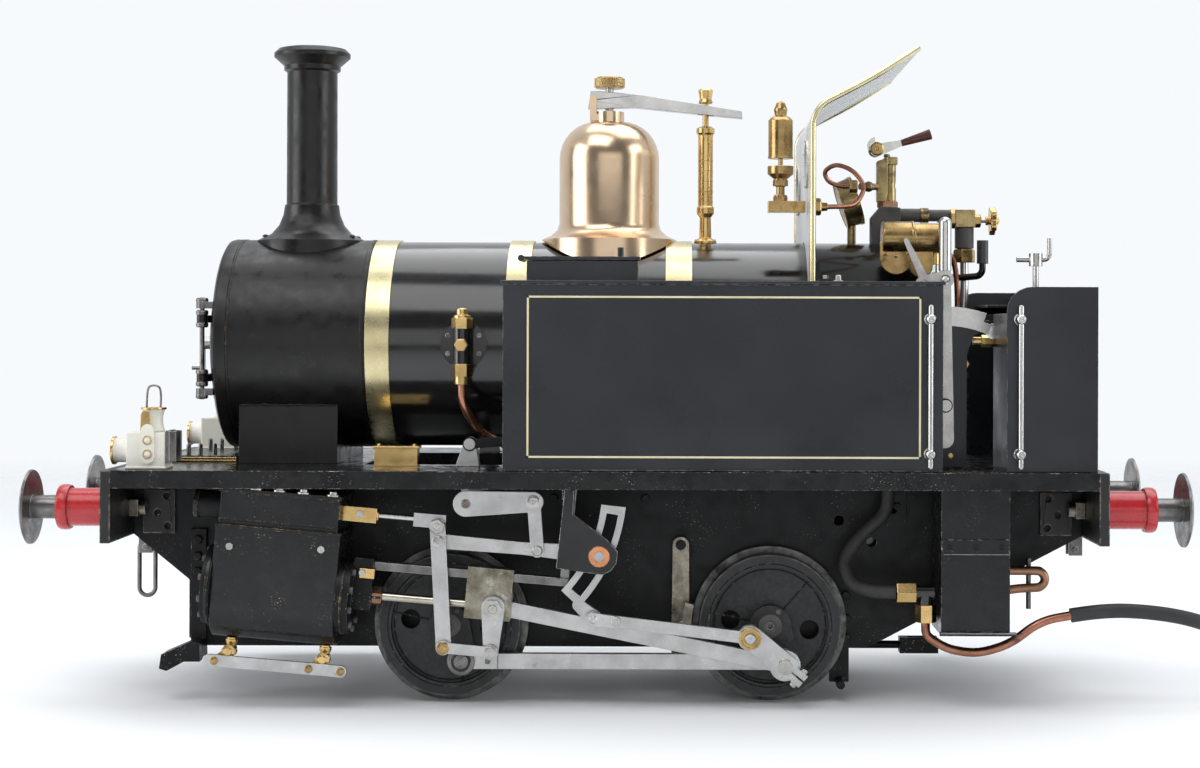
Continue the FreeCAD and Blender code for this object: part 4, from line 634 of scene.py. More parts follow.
# ---- CAD nodes by solid -------------------------------------------------------------------------
dress("main_frames", "frame", 0.2)
dress("buffer_beams", lambda m, s: ("red" if abs(m[0]) > 183 and abs(m[1]) > 20 else
                                    "steel_dark" if abs(m[1]) < 5 and s[1] < 20 else
                                    "patina" if max(s) < 8 else "beam"), 0.25)
dress("running_boards", "deck", 0.25)
dress("smokebox", lambda m, s: "steel_dark" if max(s[0], s[1]) < 8 else "smokebox", 0.2)
dress("smokebox_door", lambda m, s: "smokebox", 0.15)
dress("door_dart", "bolt", 0.15)
dress("chimney", "smokebox", 0.12)
dress("boiler_barrel", "gloss", 0.0)
dress("boiler_bands", "bands", 0.12)
dress("firebox", "gloss", 0.3)
dress("fire_door", "casting", 0.2)
dress("dome", lambda m, s: "bronze" if s[2] > 30 else None if m[2] > 229 and s[0] > 8 else "bolt", 0.15)
dress("safety_lever", lambda m, s: "brass" if s[0] < 8 else "nickel", 0.2)
dress("brake_hangers", lambda m, s: "patina" if m[2] > 20 and s[2] > 30 else "frame", 0.2)
dress("brake_pull_rod", "frame", 0.2)
dress("weatherboard", lambda m, s: "plate" if s[2] > 40 else "deck", 0.0)
dress("left_side_tank", "tank", 0.3)
dress("right_side_tank", "tank", 0.3)
dress("filler_lid", "tank", 0.25)
dress("coal_bunkers", "tank", 0.25)
dress("bypass_handle", "bolt", 0.15)
dress("handrails", "nickel", 0.0)


def cylinder_rule(m, s):
    if s[0] > 40:
        return "cladding"
    if m[2] < 32 and s[0] < 6:
        return "brass"
    if s[0] < 5 and s[1] < 9:
        return "gland"
    if m[0] > -94 and 4.5 < s[1] < 6 and m[2] > 55:
        return "brass"
    if m[0] > -95 and s[1] < 9:
        return "casting"
    return "frame"


dress("cylinders", cylinder_rule, 0.35)
dress("drain_cock_links", "steel", 0.15)
def bracket_rule(m, s):
    if s[0] > 50:
        return "steel_dark"
    if s[1] > 12 and s[2] < 12:
        return "patina"
    return "copper_bright" if max(s) < 8 and s[1] < 4 else "bracket"


dress("motion_brackets", bracket_rule, 0.15)
dress("radius_rods", "steel", 0.15)
dress("weighshaft", "steel", 0.15)
dress("reach_rod", "frame", 0.15)
dress("reversing_lever", lambda m, s: "nickel" if m[2] > 165 and s[0] < 6 else "bolt", 0.15)
dress("regulator_handle", lambda m, s: "grip" if s[0] < 7 else "gloss", 0.15)
dress("coupling_link", "steel_dark", 0.0)
dress("rear_wheels", lambda m, s: "rear_wheel" if s[0] > 40 else "steel_dark", 0.2, 28.0)
dress("front_wheels", lambda m, s: "front_wheel" if s[0] > 40 else "steel_dark", 0.2, 28.0)
for name in ("front_left_buffer", "front_right_buffer", "rear_left_buffer", "rear_right_buffer"):
    dress(name, "steel_dark", 0.1)
dress("whistle_lever", lambda m, s: "wood" if m[0] > 115 else "nickel", 0.12)


def pipe_rule(m, s):
    if m[0] > 80:
        if s[0] > 40:
            return "copper"
        if s[2] > 25:
            return "lagging"
        return "gloss" if s[0] > 6.5 and s[2] > 6.5 and max(s) < 8.2 and m[0] > 112 else "brass"
    if s[0] > 40:
        return "copper"
    return "brass" if s[2] < 5.5 and s[0] < 9 and s[1] > 6 else "gloss"


dress("feed_pipes", pipe_rule, 0.12)


def side(name, rule, bevel=0.15, degrees=32.0):
    for hand in ("left", "right"):
        dress(f"{hand}_{name}", rule, bevel, degrees)


side("coupling_rod", "steel", 0.2)
side("crosshead", lambda m, s: "patina" if 10 < s[0] < 20 and s[2] > 15 and s[1] > 6 else
     "rod" if s[0] > 40 else "bolt" if s[1] < 3.5 and s[2] < 8 else "steel", 0.2)
side("connecting_rod", "steel", 0.2)
side("combination_lever", "steel", 0.2)
side("union_link", "steel", 0.15)
side("valve_spindle", lambda m, s: "nickel" if s[0] > 14 else "steel", 0.15)
side("expansion_link", "steel", 0.15)
side("eccentric_rod", lambda m, s: "brass" if s[0] < 8 else "steel", 0.15)


def fittings_rule(m, s):
    if m[0] < -60 or 30 < m[0] < 45:
        return "brass"
    if abs(m[1] + 30) < 1 and m[0] < 80:
        return "brass_aged"
    if m[1] < -35:
        return "tank" if s[2] > 50 else "nickel" if s[0] > 20 else "bolt"
    if abs(m[1] + 14) < 2:
        return "glass" if s[0] < 3 and s[2] > 15 else "brass"
    if abs(m[2] - 158) < 1 and s[0] < 4:
        return "casting"
    if m[1] > 5:
        return "tarnish"
    return None


dress("boiler_fittings", fittings_rule, 0.15)


# ---- boiler mountings ---------------------------------------------------------------------------
def boiler_details():
    nut = Kit()
    teeth = 56
    wave = [(5.95 if k % 2 else 5.55, 2 * math.pi * k / (2 * teeth)) for k in range(2 * teeth)]
    nut.prism([(-1.0 + r * math.cos(t), r * math.sin(t)) for r, t in wave], 231.2, 234.6, "z")
    nut.lathe([(0, 230.8), (5.5, 230.8), (5.5, 231.2), (0, 231.2)], (-1.0, 0, 0), seg=48)
    nut.lathe([(0, 234.6), (5.4, 234.6), (5.0, 235.1), (0, 235.2)], (-1.0, 0, 0), seg=48)
    nut.make("dome_knurled_nut", "brass_aged", degrees=25)
    kit = Kit()
    for k in range(8):
        t = math.pi * (0.125 + 0.25 * k)
        x, y = -117.0 + 18.2 * math.cos(t), 18.2 * math.sin(t)
        kit.rivet((x, y, BOILER_Z + math.sqrt(41.9 ** 2 - y * y) - 0.1), (0, y / 60, 1), 1.25, 1.0)
    for k in range(14):
        t = 2 * math.pi * (k + 0.5) / 14
        kit.rivet((-147.6, 33.6 * math.cos(t), BOILER_Z + 33.6 * math.sin(t)), (-1, 0, 0), 1.15, 1.0)
    kit.make("smokebox_screws", "smokebox")
    rand = random.Random(4)
    bead = Kit()
    line = [(-138.4 + 36.7 * k / 30, -33.0 - 0.25 * rand.random(),
             107.95 + 0.5 * rand.random()) for k in range(31)]
    bead.tube(line, 0.5, 10, 3, lambda t: 0.8 + 0.35 * math.sin(40 * t) * math.sin(17 * t))
    bead.mirror().make("saddle_bead", "smokebox")
    seam = Kit()
    seam.ring(39.9, 40.42, -142.2, -141.6, (0, 0, BOILER_Z), (1, 0, 0), 128)
    seam.ring(39.9, 40.36, -92.6, -91.5, (0, 0, BOILER_Z), (1, 0, 0), 128)
    seam.make("smokebox_seams", "smokebox")
    knobs = Kit()
    for z in (111.4, 116.0, 120.4, 138.1, 142.6, 147.2):
        knobs.lathe([(0, -1.0), (1.9, -1.0), (2.3, -0.5), (2.3, 0.5), (1.9, 1.0), (0, 1.0)],
                    (-152.4, -33.0, z), seg=20)
    knobs.make("door_hinge_collars", "steel_dark")
    clack = Kit()
    for hand in (-1, 1):
        for k in range(6):
            t = math.pi * (k + 0.5) / 3
            clack.slotted((CLACK_X + 6.7 * math.cos(t), hand * 41.3, BOILER_Z + 6.7 * math.sin(t)),
                          (0, hand, 0),
                          0.95, 0.8, k)
    clack.make("clack_screws", "steel_dark")
    caps = Kit()
    for hand in (-1, 1):
        caps.lathe([(0, 0), (3.3, 0), (3.3, 1.0), (2.2, 1.4), (2.2, 3.4), (1.5, 3.8), (0, 3.8)],
                   (CLACK_X, hand * 46.4, 140.8), seg=24)
        caps.lathe([(1.7, 0), (2.9, 0.3), (3.0, 3.2), (1.7, 3.6)], (CLACK_X, hand * 46.4, 116.2), seg=24)
        caps.hexagon((CLACK_X, hand * 49.4, BOILER_Z), (0, hand, 0), 2.6, 2.4)
    caps.make("clack_caps", "brass")
    strap = Kit()
    for x in (-86.1, -34.2, 26.2):
        strap.box(x - 2.6, x + 2.6, -3.0, 3.0, 90.2, 91.0)
    strap.make("band_clips", "bands", bevel=0.1)
    pad = Kit()
    pad.slotted((36.5 - 3.3, 0, 171.3), (0, 0, 1), 0.8, 0.7, 1.0)
    pad.slotted((36.5 + 3.3, 0, 171.3), (0, 0, 1), 0.8, 0.7, 2.0)
    for z in (186.5, 190.5, 194.5, 198.5, 202.5):
        pad.ring(2.8, 3.0, z, z + 0.25, (36.5, 0, 0), seg=40)
    pad.make("balance_marks", "brass_aged")


def weatherboard_details():
    bend = [(85.6 + 11.0 * math.cos(math.radians(180.0 - 63.5 * k / 8)),
             211.5 + 11.0 * math.sin(math.radians(180.0 - 63.5 * k / 8))) for k in range(9)]
    line = [(74.6, 153.6)] + [(74.6, 153.6 + 57.9 * k / 4) for k in range(1, 4)] + bend + [(97.0, 230.0),
                                                                                           (113.4, 240.4)]
    edge = Kit()
    for y in (-51.2, 51.2):
        edge.tube([(x + 0.55, y, z - 0.1) for x, z in line], 1.15, 14, 4)
    edge.tube([(113.4, -51.2, 240.2), (113.4, 0.0, 240.2), (113.4, 51.2, 240.2)], 1.05, 14, 2)
    edge.make("weatherboard_beading", "beading")
    panes = Kit()
    for y, z, r in ((27.0, 193.0, 9.2), (-27.0, 199.5, 8.2)):
        panes.lathe([(0, -0.3), (r, -0.3), (r, 0.3), (0, 0.3)], (75.2, y, z), (1, 0, 0), 48)
    panes.make("spectacle_panes", "glass")
    rims = Kit()
    for y, z, r in ((27.0, 193.0, 9.0), (-27.0, 199.5, 8.0)):
        rims.ring(r - 0.3, r + 1.2, -1.3, -0.7, (75.2, y, z), (1, 0, 0), 64)
        for k in range(6):
            t = math.pi * (k + 0.5) / 3
            rims.rivet((73.9, y + (r + 0.6) * math.cos(t), z + (r + 0.6) * math.sin(t)), (-1, 0, 0), 0.5, 0.5)
    rims.make("spectacle_rims", "beading", bevel=0.1)
    foot = Kit()
    for y in (-50.2, 50.2):
        foot.hexagon((79.6, y, 155.7), (0, 0, 1), 1.5, 1.3)
        foot.lathe([(0, 0), (1.9, 0), (1.9, 0.5), (1.1, 0.7), (1.1, 2.2), (0.8, 2.5), (0, 2.5)],
                   (84.0, y * 1.16, 154.4), seg=20)
    foot.make("weatherboard_bolts", "bolt")
    whistle = Kit()
    whistle.hexagon((76.4, -30.0, 183.2), (1, 0, 0), 3.3, 3.2)
    whistle.lathe([(0, 0), (1.7, 0), (1.5, 2.4), (0, 2.4)], (79.6, -30.0, 183.2), (1, 0, 0), 20)
    whistle.hexagon((64.3, -30.0, 190.9), (0, 0, 1), 2.9, 2.5)
    whistle.hexagon((64.3, -30.0, 185.3), (0, 0, 1), 2.7, 2.0)
    whistle.ring(4.3, 4.75, 201.2, 202.0, (64.3, -30.0, 0))
    whistle.hexagon((92.0, -8.0, 192.4), (1, 0, 0), 2.5, 3.2)
    whistle.make("whistle_unions", "brass_aged", bevel=0.08)
    pipe = Kit()
    pipe.tube([(79.6, -30.0, 183.2), (83.2, -28.6, 183.3), (91.7, -24.5, 184.2), (95.7, -21.0, 188.4),
               (96.2, -18.5, 192.8), (92.4, -15.5, 197.9), (86.7, -12.5, 200.2), (82.6, -10.5, 198.0),
               (83.9, -9.0, 194.4), (88.6, -8.2, 192.5), (93.0, -8.0, 192.4)], 0.9, 14, 8)
    pipe.make("whistle_pipe", "copper")


def turret():
    cast = Kit()
    cast.prism([(101.0, 169.0), (112.2, 169.0), (112.2, 184.4), (104.6, 184.9), (101.0, 180.6)], -4.8, 4.8)
    cast.lathe([(2.4, 0), (3.7, 0.2), (3.7, 8.2), (2.4, 8.4)], (137.6, 0, 168.6), seg=32)
    cast.lathe([(0, 0), (2.7, 0), (2.7, 9.0), (2.3, 9.2), (2.3, 22.0), (0, 22.0)], (112.0, 0, 181.6),
               (1, 0, 0), 32)
    cast.hexagon((103.6, -0.4, 166.4), (0, 0, 1), 5.6, 3.4, 0.3)
    cast.make("turret_casting", "casting", bevel=0.4)
    body = Kit()
    body.prism([(103.3, 186.8), (106.8, 186.8), (107.4, 190.6), (107.4, 204.0), (103.3, 202.6)], -3.0, 3.0)
    body.lathe([(0, 0), (2.3, 0), (2.3, 5.0), (1.9, 6.2), (2.2, 8.0), (2.3, 15.0), (0, 15.0)],
               (108.6, 0, 186.8), seg=28)
    body.box(106.2, 111.3, -2.6, 2.6, 201.2, 204.3)
    body.lathe([(0, 0), (1.3, 0), (1.3, 0.9), (0.8, 1.3), (0, 1.3)], (107.3, 0, 204.3), seg=20)
    body.lathe([(0, -7.0), (1.3, -7.0), (1.3, -4.6), (1.9, -3.9), (2.1, -3.0), (1.9, -2.1), (1.3, -1.4),
                (1.3, 1.0), (0, 1.0)], (102.6, -3.6, 192.5), (1, 0.35, 0), 24)
    body.box(133.7, 141.4, -3.8, 3.8, 176.9, 183.8)
    body.lathe([(0, 0), (3.0, 0), (3.0, 3.2), (2.5, 3.6), (0, 3.6)], (120.2, 0, 181.6), (1, 0, 0), 28)
    body.make("turret_valve", "tarnish", bevel=0.3)
    nuts = Kit()
    nuts.hexagon((137.6, 0, 163.3), (0, 0, 1), 4.5, 5.2, 0.2)
    nuts.hexagon((134.4, 0, 180.4), (-1, 0, 0), 3.9, 2.6)
    nuts.hexagon((141.4, 0, 179.6), (1, 0, 0), 2.7, 2.6)
    nuts.lathe([(0, 0), (2.7, 0), (2.7, 2.6), (2.1, 3.0), (0.7, 3.0), (0.7, 2.5), (0, 2.5)],
               (103.0, -2.6, 207.2),
               NEAR, 28)
    nuts.disc(1.2, 5.6, (103.0, 3.0, 207.2), NEAR, 20)
    nuts.make("turret_nuts", "brass_aged", bevel=0.12)
    red = Kit()
    red.hexagon((107.6, 0, 184.6), (0, 0, 1), 4.1, 2.6)
    red.make("turret_seat", "gland", bevel=0.12)
    pipes = Kit()
    pipes.tube([(137.6, 0, 163.6), (137.6, 0, 150.0), (136.0, 0, 128.0), (BOILER_Z, 0, 104.0),
                (126.0, 0, 88.0)], 1.65, 18, 6)
    pipes.make("injector_pipe", "nickel")
    red_pipe = Kit()
    red_pipe.tube([(124.0, -8.0, 168.0), (130.0, -7.0, 167.0), (133.6, -5.0, 160.0), (134.2, -4.4, 140.0),
                   (BOILER_Z, -4.0, 112.0), (126.0, -4.0, 88.0)], 1.1, 14, 6)
    red_pipe.make("blower_pipe", "copper")
    drum = Kit()
    drum.lathe([(0, 0), (6.0, 0), (6.35, 0.5), (6.35, 11.0), (6.55, 11.2), (6.55, 11.9), (5.7, 12.2),
                (5.7, 21.0),
                (5.3, 21.6), (5.3, 23.0), (2.6, 23.4), (0, 23.4)], (102.4, -30.5, 171.4), (1, 0, 0), 56)
    for x, z, r, y in ((107.4, 163.8, 6.0, -34.4), (117.0, 161.0, 4.4, -33.2)):
        arc = [(x + r * math.cos(math.pi + math.pi * k / 20), z + r * math.sin(math.pi + math.pi * k / 20))
               for k in range(21)]
        drum.prism(arc + [(x + r, 170.0), (x - r, 170.0)], y, y + 1.2)
    for x, z in ((103.6, 165.4), (107.4, 164.6), (112.0, 165.6), (117.0, 158.4)):
        drum.rivet((x, -34.2, z), NEAR, 0.6, 0.6)
    drum.make("lubricator", "brass_aged", bevel=0.15)
    rim = Kit()
    tilt = Matrix.Translation((93.0, 12.0, 187.0)) @ Matrix.Rotation(math.radians(-18), 4, "Y")
    rim.ring(8.4, 9.9, 2.6, 4.0, (0, 0, 0), (1, 0, 0), 64)
    rim.ring(8.8, 9.6, -3.2, -2.8, (0, 0, 0), (1, 0, 0), 64)
    rim.lathe([(0, 4.1), (0.9, 4.1), (0.9, 4.5), (0, 4.5)], (0, 0, 0), (1, 0, 0), 16)
    rim.move(tilt).make("gauge_bezel", "brass", bevel=0.12)
    face = Kit()
    face.lathe([(0, 3.1), (8.5, 3.1), (8.5, 3.4), (0, 3.4)], (0, 0, 0), (1, 0, 0), 64)
    face.move(tilt).make("gauge_dial", "dial")
    marks = Kit()
    for k in range(13):
        t = math.radians(-40 + 260 * k / 12)
        c, s = math.cos(t), math.sin(t)
        r0, r1, w = (6.1 if k % 3 == 0 else 6.8), 7.6, 0.14
        marks.prism([(r0 * c - w * s, r0 * s + w * c), (r1 * c - w * s, r1 * s + w * c),
                     (r1 * c + w * s, r1 * s - w * c), (r0 * c + w * s, r0 * s - w * c)], 3.4, 3.5, "x")
    marks.prism([(-0.5, -0.3), (0.5, 0.3), (-4.6, 4.2)], 3.55, 3.75, "x")
    marks.move(tilt).make("gauge_marks", "soot")


def handwheel():
    wheel = Kit()
    outline = []
    for k in range(90):
        t = 2 * math.pi * k / 90
        r = 5.0 + 0.75 * math.cos(5 * t)
        outline.append((r * math.cos(t), 179.6 + r * math.sin(t)))
    wheel.prism(outline, 147.4, 149.8, "x")
    wheel.lathe([(0, 0), (1.9, 0), (1.6, 1.4), (1.6, 4.4), (1.2, 5.2), (0, 5.6)], (145.8, 0, 179.6),
                (1, 0, 0), 24)
    made = wheel.make("blower_handwheel", "brass", "blower_wheel", 0.5)
    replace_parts(made, "blower_wheel")
    Kit().disc(0.8, 19.0, (127.0, 0, 179.6), (1, 0, 0), 16).make(
        "blower_spindle", "bolt", "blower_wheel")
    tail = Kit()
    turns = [math.radians(100 + 11 * k) for k in range(11)]
    outer = [(103.0 + (4.6 - 0.02 * k * k) * math.cos(t), 207.2 + (4.6 - 0.02 * k * k) * math.sin(t))
             for k, t in enumerate(turns)]
    inner = [(103.0 + 3.0 * math.cos(t), 207.2 + 3.0 * math.sin(t)) for t in reversed(turns)]
    tail.prism(outer + inner, -5.0, -3.9).make("whistle_lever_tail", "nickel", "whistle_lever", 0.2)


# ---- cab ----------------------------------------------------------------------------------------
def cab_details():
    head = Kit()
    for x, z in ((116.5, 153.8), (124.3, 155.6)):
        head.lathe([(0, 0), (1.9, 0), (1.9, 0.5), (1.2, 0.7), (1.2, 1.3), (0.8, 1.6), (0, 1.6)],
                   (x, -46.4, z), NEAR, 24)
    head.make("latch_screws", "bolt", "reversing_lever")
    spring = Kit()
    route = [(122.6 + 0.9 * math.cos(k * 0.7), -46.0 + 0.9 * math.sin(k * 0.7),
              139.0 + 0.13 * k) for k in range(90)]
    spring.tube(route, 0.22, 6, 2)
    spring.tube([(122.6, -46.0, 138.0), (122.6, -46.0, 152.5)], 0.4, 8, 1)
    spring.make("latch_spring", "bolt", "reversing_lever")
    quad = Kit()
    arc = [(124.5 + 45.6 * math.sin(math.radians(a)), 96.8 + 45.6 * math.cos(math.radians(a)))
           for a in [-5 + 2.3 * k for k in range(13)]]
    low = [(124.5 + 41.8 * math.sin(math.radians(a)), 96.8 + 41.8 * math.cos(math.radians(a)))
           for a in [22.6 - 2.3 * k for k in range(13)]]
    quad.prism(arc + low, -42.95, -41.9)
    quad.lathe([(0, 0), (2.9, 0), (2.9, 0.2), (2.4, 0.35), (0, 0.35)], (142.6, -42.55, 136.6), NEAR, 28)
    quad.make("reversing_quadrant", "nickel", bevel=0.12)
    lug = Kit()
    lug.hexagon((138.6, -40.0, 133.0), (1, 0, 0), 2.3, 5.2)
    lug.disc(1.5, 3.4, (135.4, -40.0, 133.0), (1, 0, 0), 20)
    lug.hexagon((132.6, -38.0, 124.4), NEAR, 1.9, 1.6)
    lug.hexagon((131.6, -38.0, 100.4), NEAR, 1.4, 1.6)
    lug.disc(1.0, 0.5, (127.0, -42.4, 90.5), NEAR, 16)
    lug.make("cab_unions", "brass", bevel=0.1)
    treads = Kit()
    for hand in (-1, 1):
        for i in range(13):
            for j in range(16):
                x, y = 121.6 + 1.7 * i, hand * (44.0 + 1.7 * j + (0.85 if i % 2 else 0.0))
                treads.prism([(x - 0.75, y), (x, y - 0.4), (x + 0.75, y), (x, y + 0.4)], 86.18, 86.38, "z")
    treads.make("cab_tread_plate", "deck")
    knob = Kit()
    knob.lathe([(0, 0), (2.6, 0), (2.6, 0.8), (1.5, 1.0), (1.5, 2.0), (0, 2.0)], (156.0, -56.0, 147.2),
               seg=24)
    knob.make("bypass_gland", "bolt")
    face = Kit()
    for y, z in ((0, 165.5), (-22, 152), (22, 152), (-28, 130), (28, 130), (-22, 100), (22, 100)):
        face.rivet((118.0, y, z), (1, 0, 0), 1.5, 1.1)
    face.make("backhead_stays", "gloss")


# ---- tanks and deck -----------------------------------------------------------------------------
def tank_lining():
    line = Kit()
    for a0, a1, b0, b1 in ((-28.1, 112.7, 148.2, 148.9), (-28.1, 112.7, 91.0, 91.7),
                           (-28.1, -27.4, 91.0, 148.9),
                           (112.0, 112.7, 91.0, 148.9)):
        line.box(a0, a1, -70.68, -70.55, b0, b1)
    line.mirror().make("tank_lining", "lining")
    rand = random.Random(9)
    bead = Kit()
    for hand in (-1, 1):
        route = [(-36.0 + 156.0 * k / 60, hand * 70.7, 153.1 - 0.2 * rand.random()) for k in range(61)]
        bead.tube(route, 0.28, 8, 2, lambda t: 0.8 + 0.5 * math.sin(90 * t) * math.sin(31 * t))
        route = [(-36.0 + 156.0 * k / 60, hand * 70.9, 86.5 + 0.1 * rand.random()) for k in range(61)]
        bead.tube(route, 0.35, 8, 2)
    bead.make("tank_solder", "tank")
    rail = Kit()
    for hand in (-1, 1):
        for x in (115.8, 147.9):
            for z in (92.8, 140.9):
                rail.slotted((x, hand * 75.5, z), (0, hand, 0), 1.15, 0.45, 0.5 + z)
                rail.ring(1.2, 2.1, 70.6, 71.0, (x, 0, z), (0, hand, 0), 32)
            for z in (88.2, 145.5):
                rail.lathe([(0, -0.5), (0.7, -0.5), (1.05, 0), (0.7, 0.5), (0, 0.5)], (x, hand * 74.0, z),
                           seg=16)
    rail.make("handrail_screws", "nickel")


def deck_details():
    brass = Kit()
    for z in (86.5, 87.5):
        brass.box(-166.3, -141.0, -25.3, 25.3, z, z + 0.55)
    brass.make("deck_plate_edges", "brass", bevel=0.08)
    staples = Kit()
    for y in (-19.0, 19.0):
        for x in (-160.5, -156.0, -150.5):
            staples.tube([(x, y - 1.6, 88.4), (x, y - 1.6, 91.6), (x, y - 0.8, 92.4), (x, y + 0.8, 92.4),
                          (x, y + 1.6, 91.6), (x, y + 1.6, 88.4)], 0.5, 10, 4)
    staples.make("deck_staples", "steel_dark")
    box = Kit()
    box.box(-86.6, -69.4, -46.6, -38.2, 92.6, 93.6)
    for x in (-84.6, -71.4):
        box.slotted((x, -42.3, 93.6), (0, 0, 1), 0.9, 0.7, x)
    box.make("deck_box_lid", "brass", bevel=0.15)
    shaft = Kit()
    for hand in (-1, 1):
        shaft.prism([(-56.0, 86.2), (-52.6, 95.8), (-50.6, 97.2), (-48.6, 95.8), (-47.0, 86.2)],
                    hand * 46.2 - 0.6,
                    hand * 46.2 + 0.6)
    shaft.make("weighshaft_plates", "steel", bevel=0.2)
    strip = Kit()
    for hand in (-1, 1):
        for x in (123.2, 132.5, 141.8):
            strip.rivet((x, hand * 70.9, 59.6), (0, hand, 0), 0.95, 0.8)
        for x, z in ((-151.6, 58.5), (-151.6, 52.5), (-151.6, 46.8), (88.6, 38.4), (88.9, 29.8),
                     (106.0, 70.0),
                     (14.0, 74.0), (-20.0, 74.0), (141.0, 73.0)):
            y = 41.7 if x < -150 and z > 40 else 39.5
            strip.hexagon((x, hand * y, z), (0, hand, 0), 1.75, 1.5)
    strip.make("frame_bolts", "frame", bevel=0.1)
    worn = Kit()
    for hand in (-1, 1):
        worn.tube([(120.9, hand * 71.0, 56.95), (144.2, hand * 71.0, 56.95)], 0.16, 8, 1)
        worn.tube([(119.8, hand * 72.2, 28.9), (146.6, hand * 72.2, 28.9)], 0.22, 8, 1)
    worn.make("step_worn_edges", "steel_dark")
    ends = Kit()
    for y in (-44.0, 44.0):
        for sign in (-1, 1):
            ends.disc(2.8, 3.4, (sign * 170.2, y, 70.7), (sign, 0, 0), 24)
            ends.disc(2.8, 4.4, (sign * 176.0, y, 70.7), (sign, 0, 0), 24)
    ends.make("buffer_spigot_ends", "patina")
    feet = Kit()
    for hand in (-1, 1):
        feet.box(82.4, 89.6, *sorted((hand * 39.6, hand * 42.0)), 6.5, 24.0)
        feet.tube([(86.0, hand * 41.0, 7.2), (86.0, hand * 46.0, 6.6), (86.0, hand * 51.0, 6.8)], 1.6, 12, 4)
    feet.make("rear_guard_irons", "frame", bevel=0.3)
    loop = Kit()
    turn = [(157.4 + 3.3 * math.cos(math.radians(a)), 45.8 + 3.1 * math.sin(math.radians(a)))
            for a in range(80, -81, -20)]
    loop.tube([(147.0, -50.0, 48.9), (152.0, -50.0, 48.9)] + [(x, -50.0, z) for x, z in turn] +
              [(152.0, -50.0, 42.4), (147.0, -50.0, 41.8)], 1.65, 16, 5)
    loop.make("overflow_pipe", "gland")
    bar = Kit()
    bar.tube([(155.4, -46.0, 53.0), (155.4, -46.0, 34.4)], 0.95, 12, 1)
    bar.make("overflow_drop", "steel_dark")
    plates = Kit()
    for hand in (-1, 1):
        plates.box(103.5, 111.0, *sorted((hand * 39.6, hand * 41.0)), 66.0, 78.5)
        plates.hexagon((107.3, hand * 41.0, 71.6), (0, hand, 0), 1.5, 0.9)
    plates.make("frame_brackets", "frame", bevel=0.25)


# ---- lamps --------------------------------------------------------------------------------------
def lamps():
    def both_lamps(build, name, material, bevel=0.0):
        kit = Kit()
        for y in (-60.0, 60.0):
            build(kit, y, -1 if y < 0 else 1)
        return kit.make(name, material, bevel=bevel)

    def shell(kit, y, hand):
        kit.box(-172.2, -158.4, y - 6.2, y + 6.2, 86.3, 99.4)
        kit.lathe([(0, 0), (4.9, 0), (4.5, 0.9), (4.3, 1.6), (4.3, 4.6), (4.9, 5.3), (0, 5.3)],
                  (-172.2, y, 92.6),
                  (-1, 0, 0), 40)
        kit.lathe([(0, 0), (4.3, 0), (3.8, 1.2), (3.4, 3.0), (3.3, 5.0), (3.7, 7.0), (4.3, 8.2), (3.4, 8.3),
                   (3.0, 7.4), (0, 7.0)], (-163.8, y, 99.4), seg=40)
        kit.box(-172.6, -158.0, y - 6.6, y + 6.6, 86.2, 87.2)

    def trims(kit, y, hand):
        kit.ring(4.0, 5.1, 5.2, 6.2, (-172.2, y, 92.6), (-1, 0, 0), 48)
        kit.ring(3.3, 4.6, 107.5, 108.2, (-163.8, y, 0), seg=48)
        kit.capsule((-165.2, 100.4), (-165.2, 105.6), 1.9, 1.7, *sorted((y + hand * 5.9, y + hand * 6.5)))
        kit.ring(1.2, 1.75, 6.9, 7.15, (-164.4, y, 96.6), (0, hand, 0), 28)
        kit.ring(1.2, 1.75, 6.9, 7.15, (-164.4, y, 91.6), (0, hand, 0), 28)

    def bracket(kit, y, hand):
        kit.capsule((-164.4, 90.6), (-164.4, 100.0), 2.6, 2.4, *sorted((y + hand * 6.2, y + hand * 6.9)))
        kit.rivet((-164.4, y + hand * 6.9, 96.6), (0, hand, 0), 1.2, 0.5)
        kit.rivet((-164.4, y + hand * 6.9, 91.6), (0, hand, 0), 1.2, 0.5)

    def slide(kit, y, hand):
        kit.box(-158.4, -157.0, y - 5.0, y + 5.0, 88.6, 100.0)
        for side_y in (y - 4.6, y + 3.6):
            kit.box(-157.0, -154.6, side_y, side_y + 1.0, 88.8, 99.8)
        kit.tube([(-166.4, y, 106.0), (-166.2, y, 112.0), (-165.8, y, 115.0), (-164.6, y, 116.0),
                  (-162.8, y, 116.0), (-161.6, y, 115.0), (-161.2, y, 112.0), (-161.4, y,
                                                                               106.0)], 0.42, 10, 6)

    def pane(kit, y, hand):
        kit.lathe([(4.2, 5.2), (3.2, 5.8), (1.6, 6.2), (0, 6.3)], (-172.2, y, 92.6), (-1, 0, 0), 40)

    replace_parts(both_lamps(shell, "lamp_bodies", "cream", 0.5), "front_lamps")
    both_lamps(trims, "lamp_trims", "brass", 0.08)
    both_lamps(bracket, "lamp_brackets", "cream", 0.12)
    both_lamps(slide, "lamp_slides", "steel_dark", 0.12)
    both_lamps(pane, "lamp_lenses", "glass")


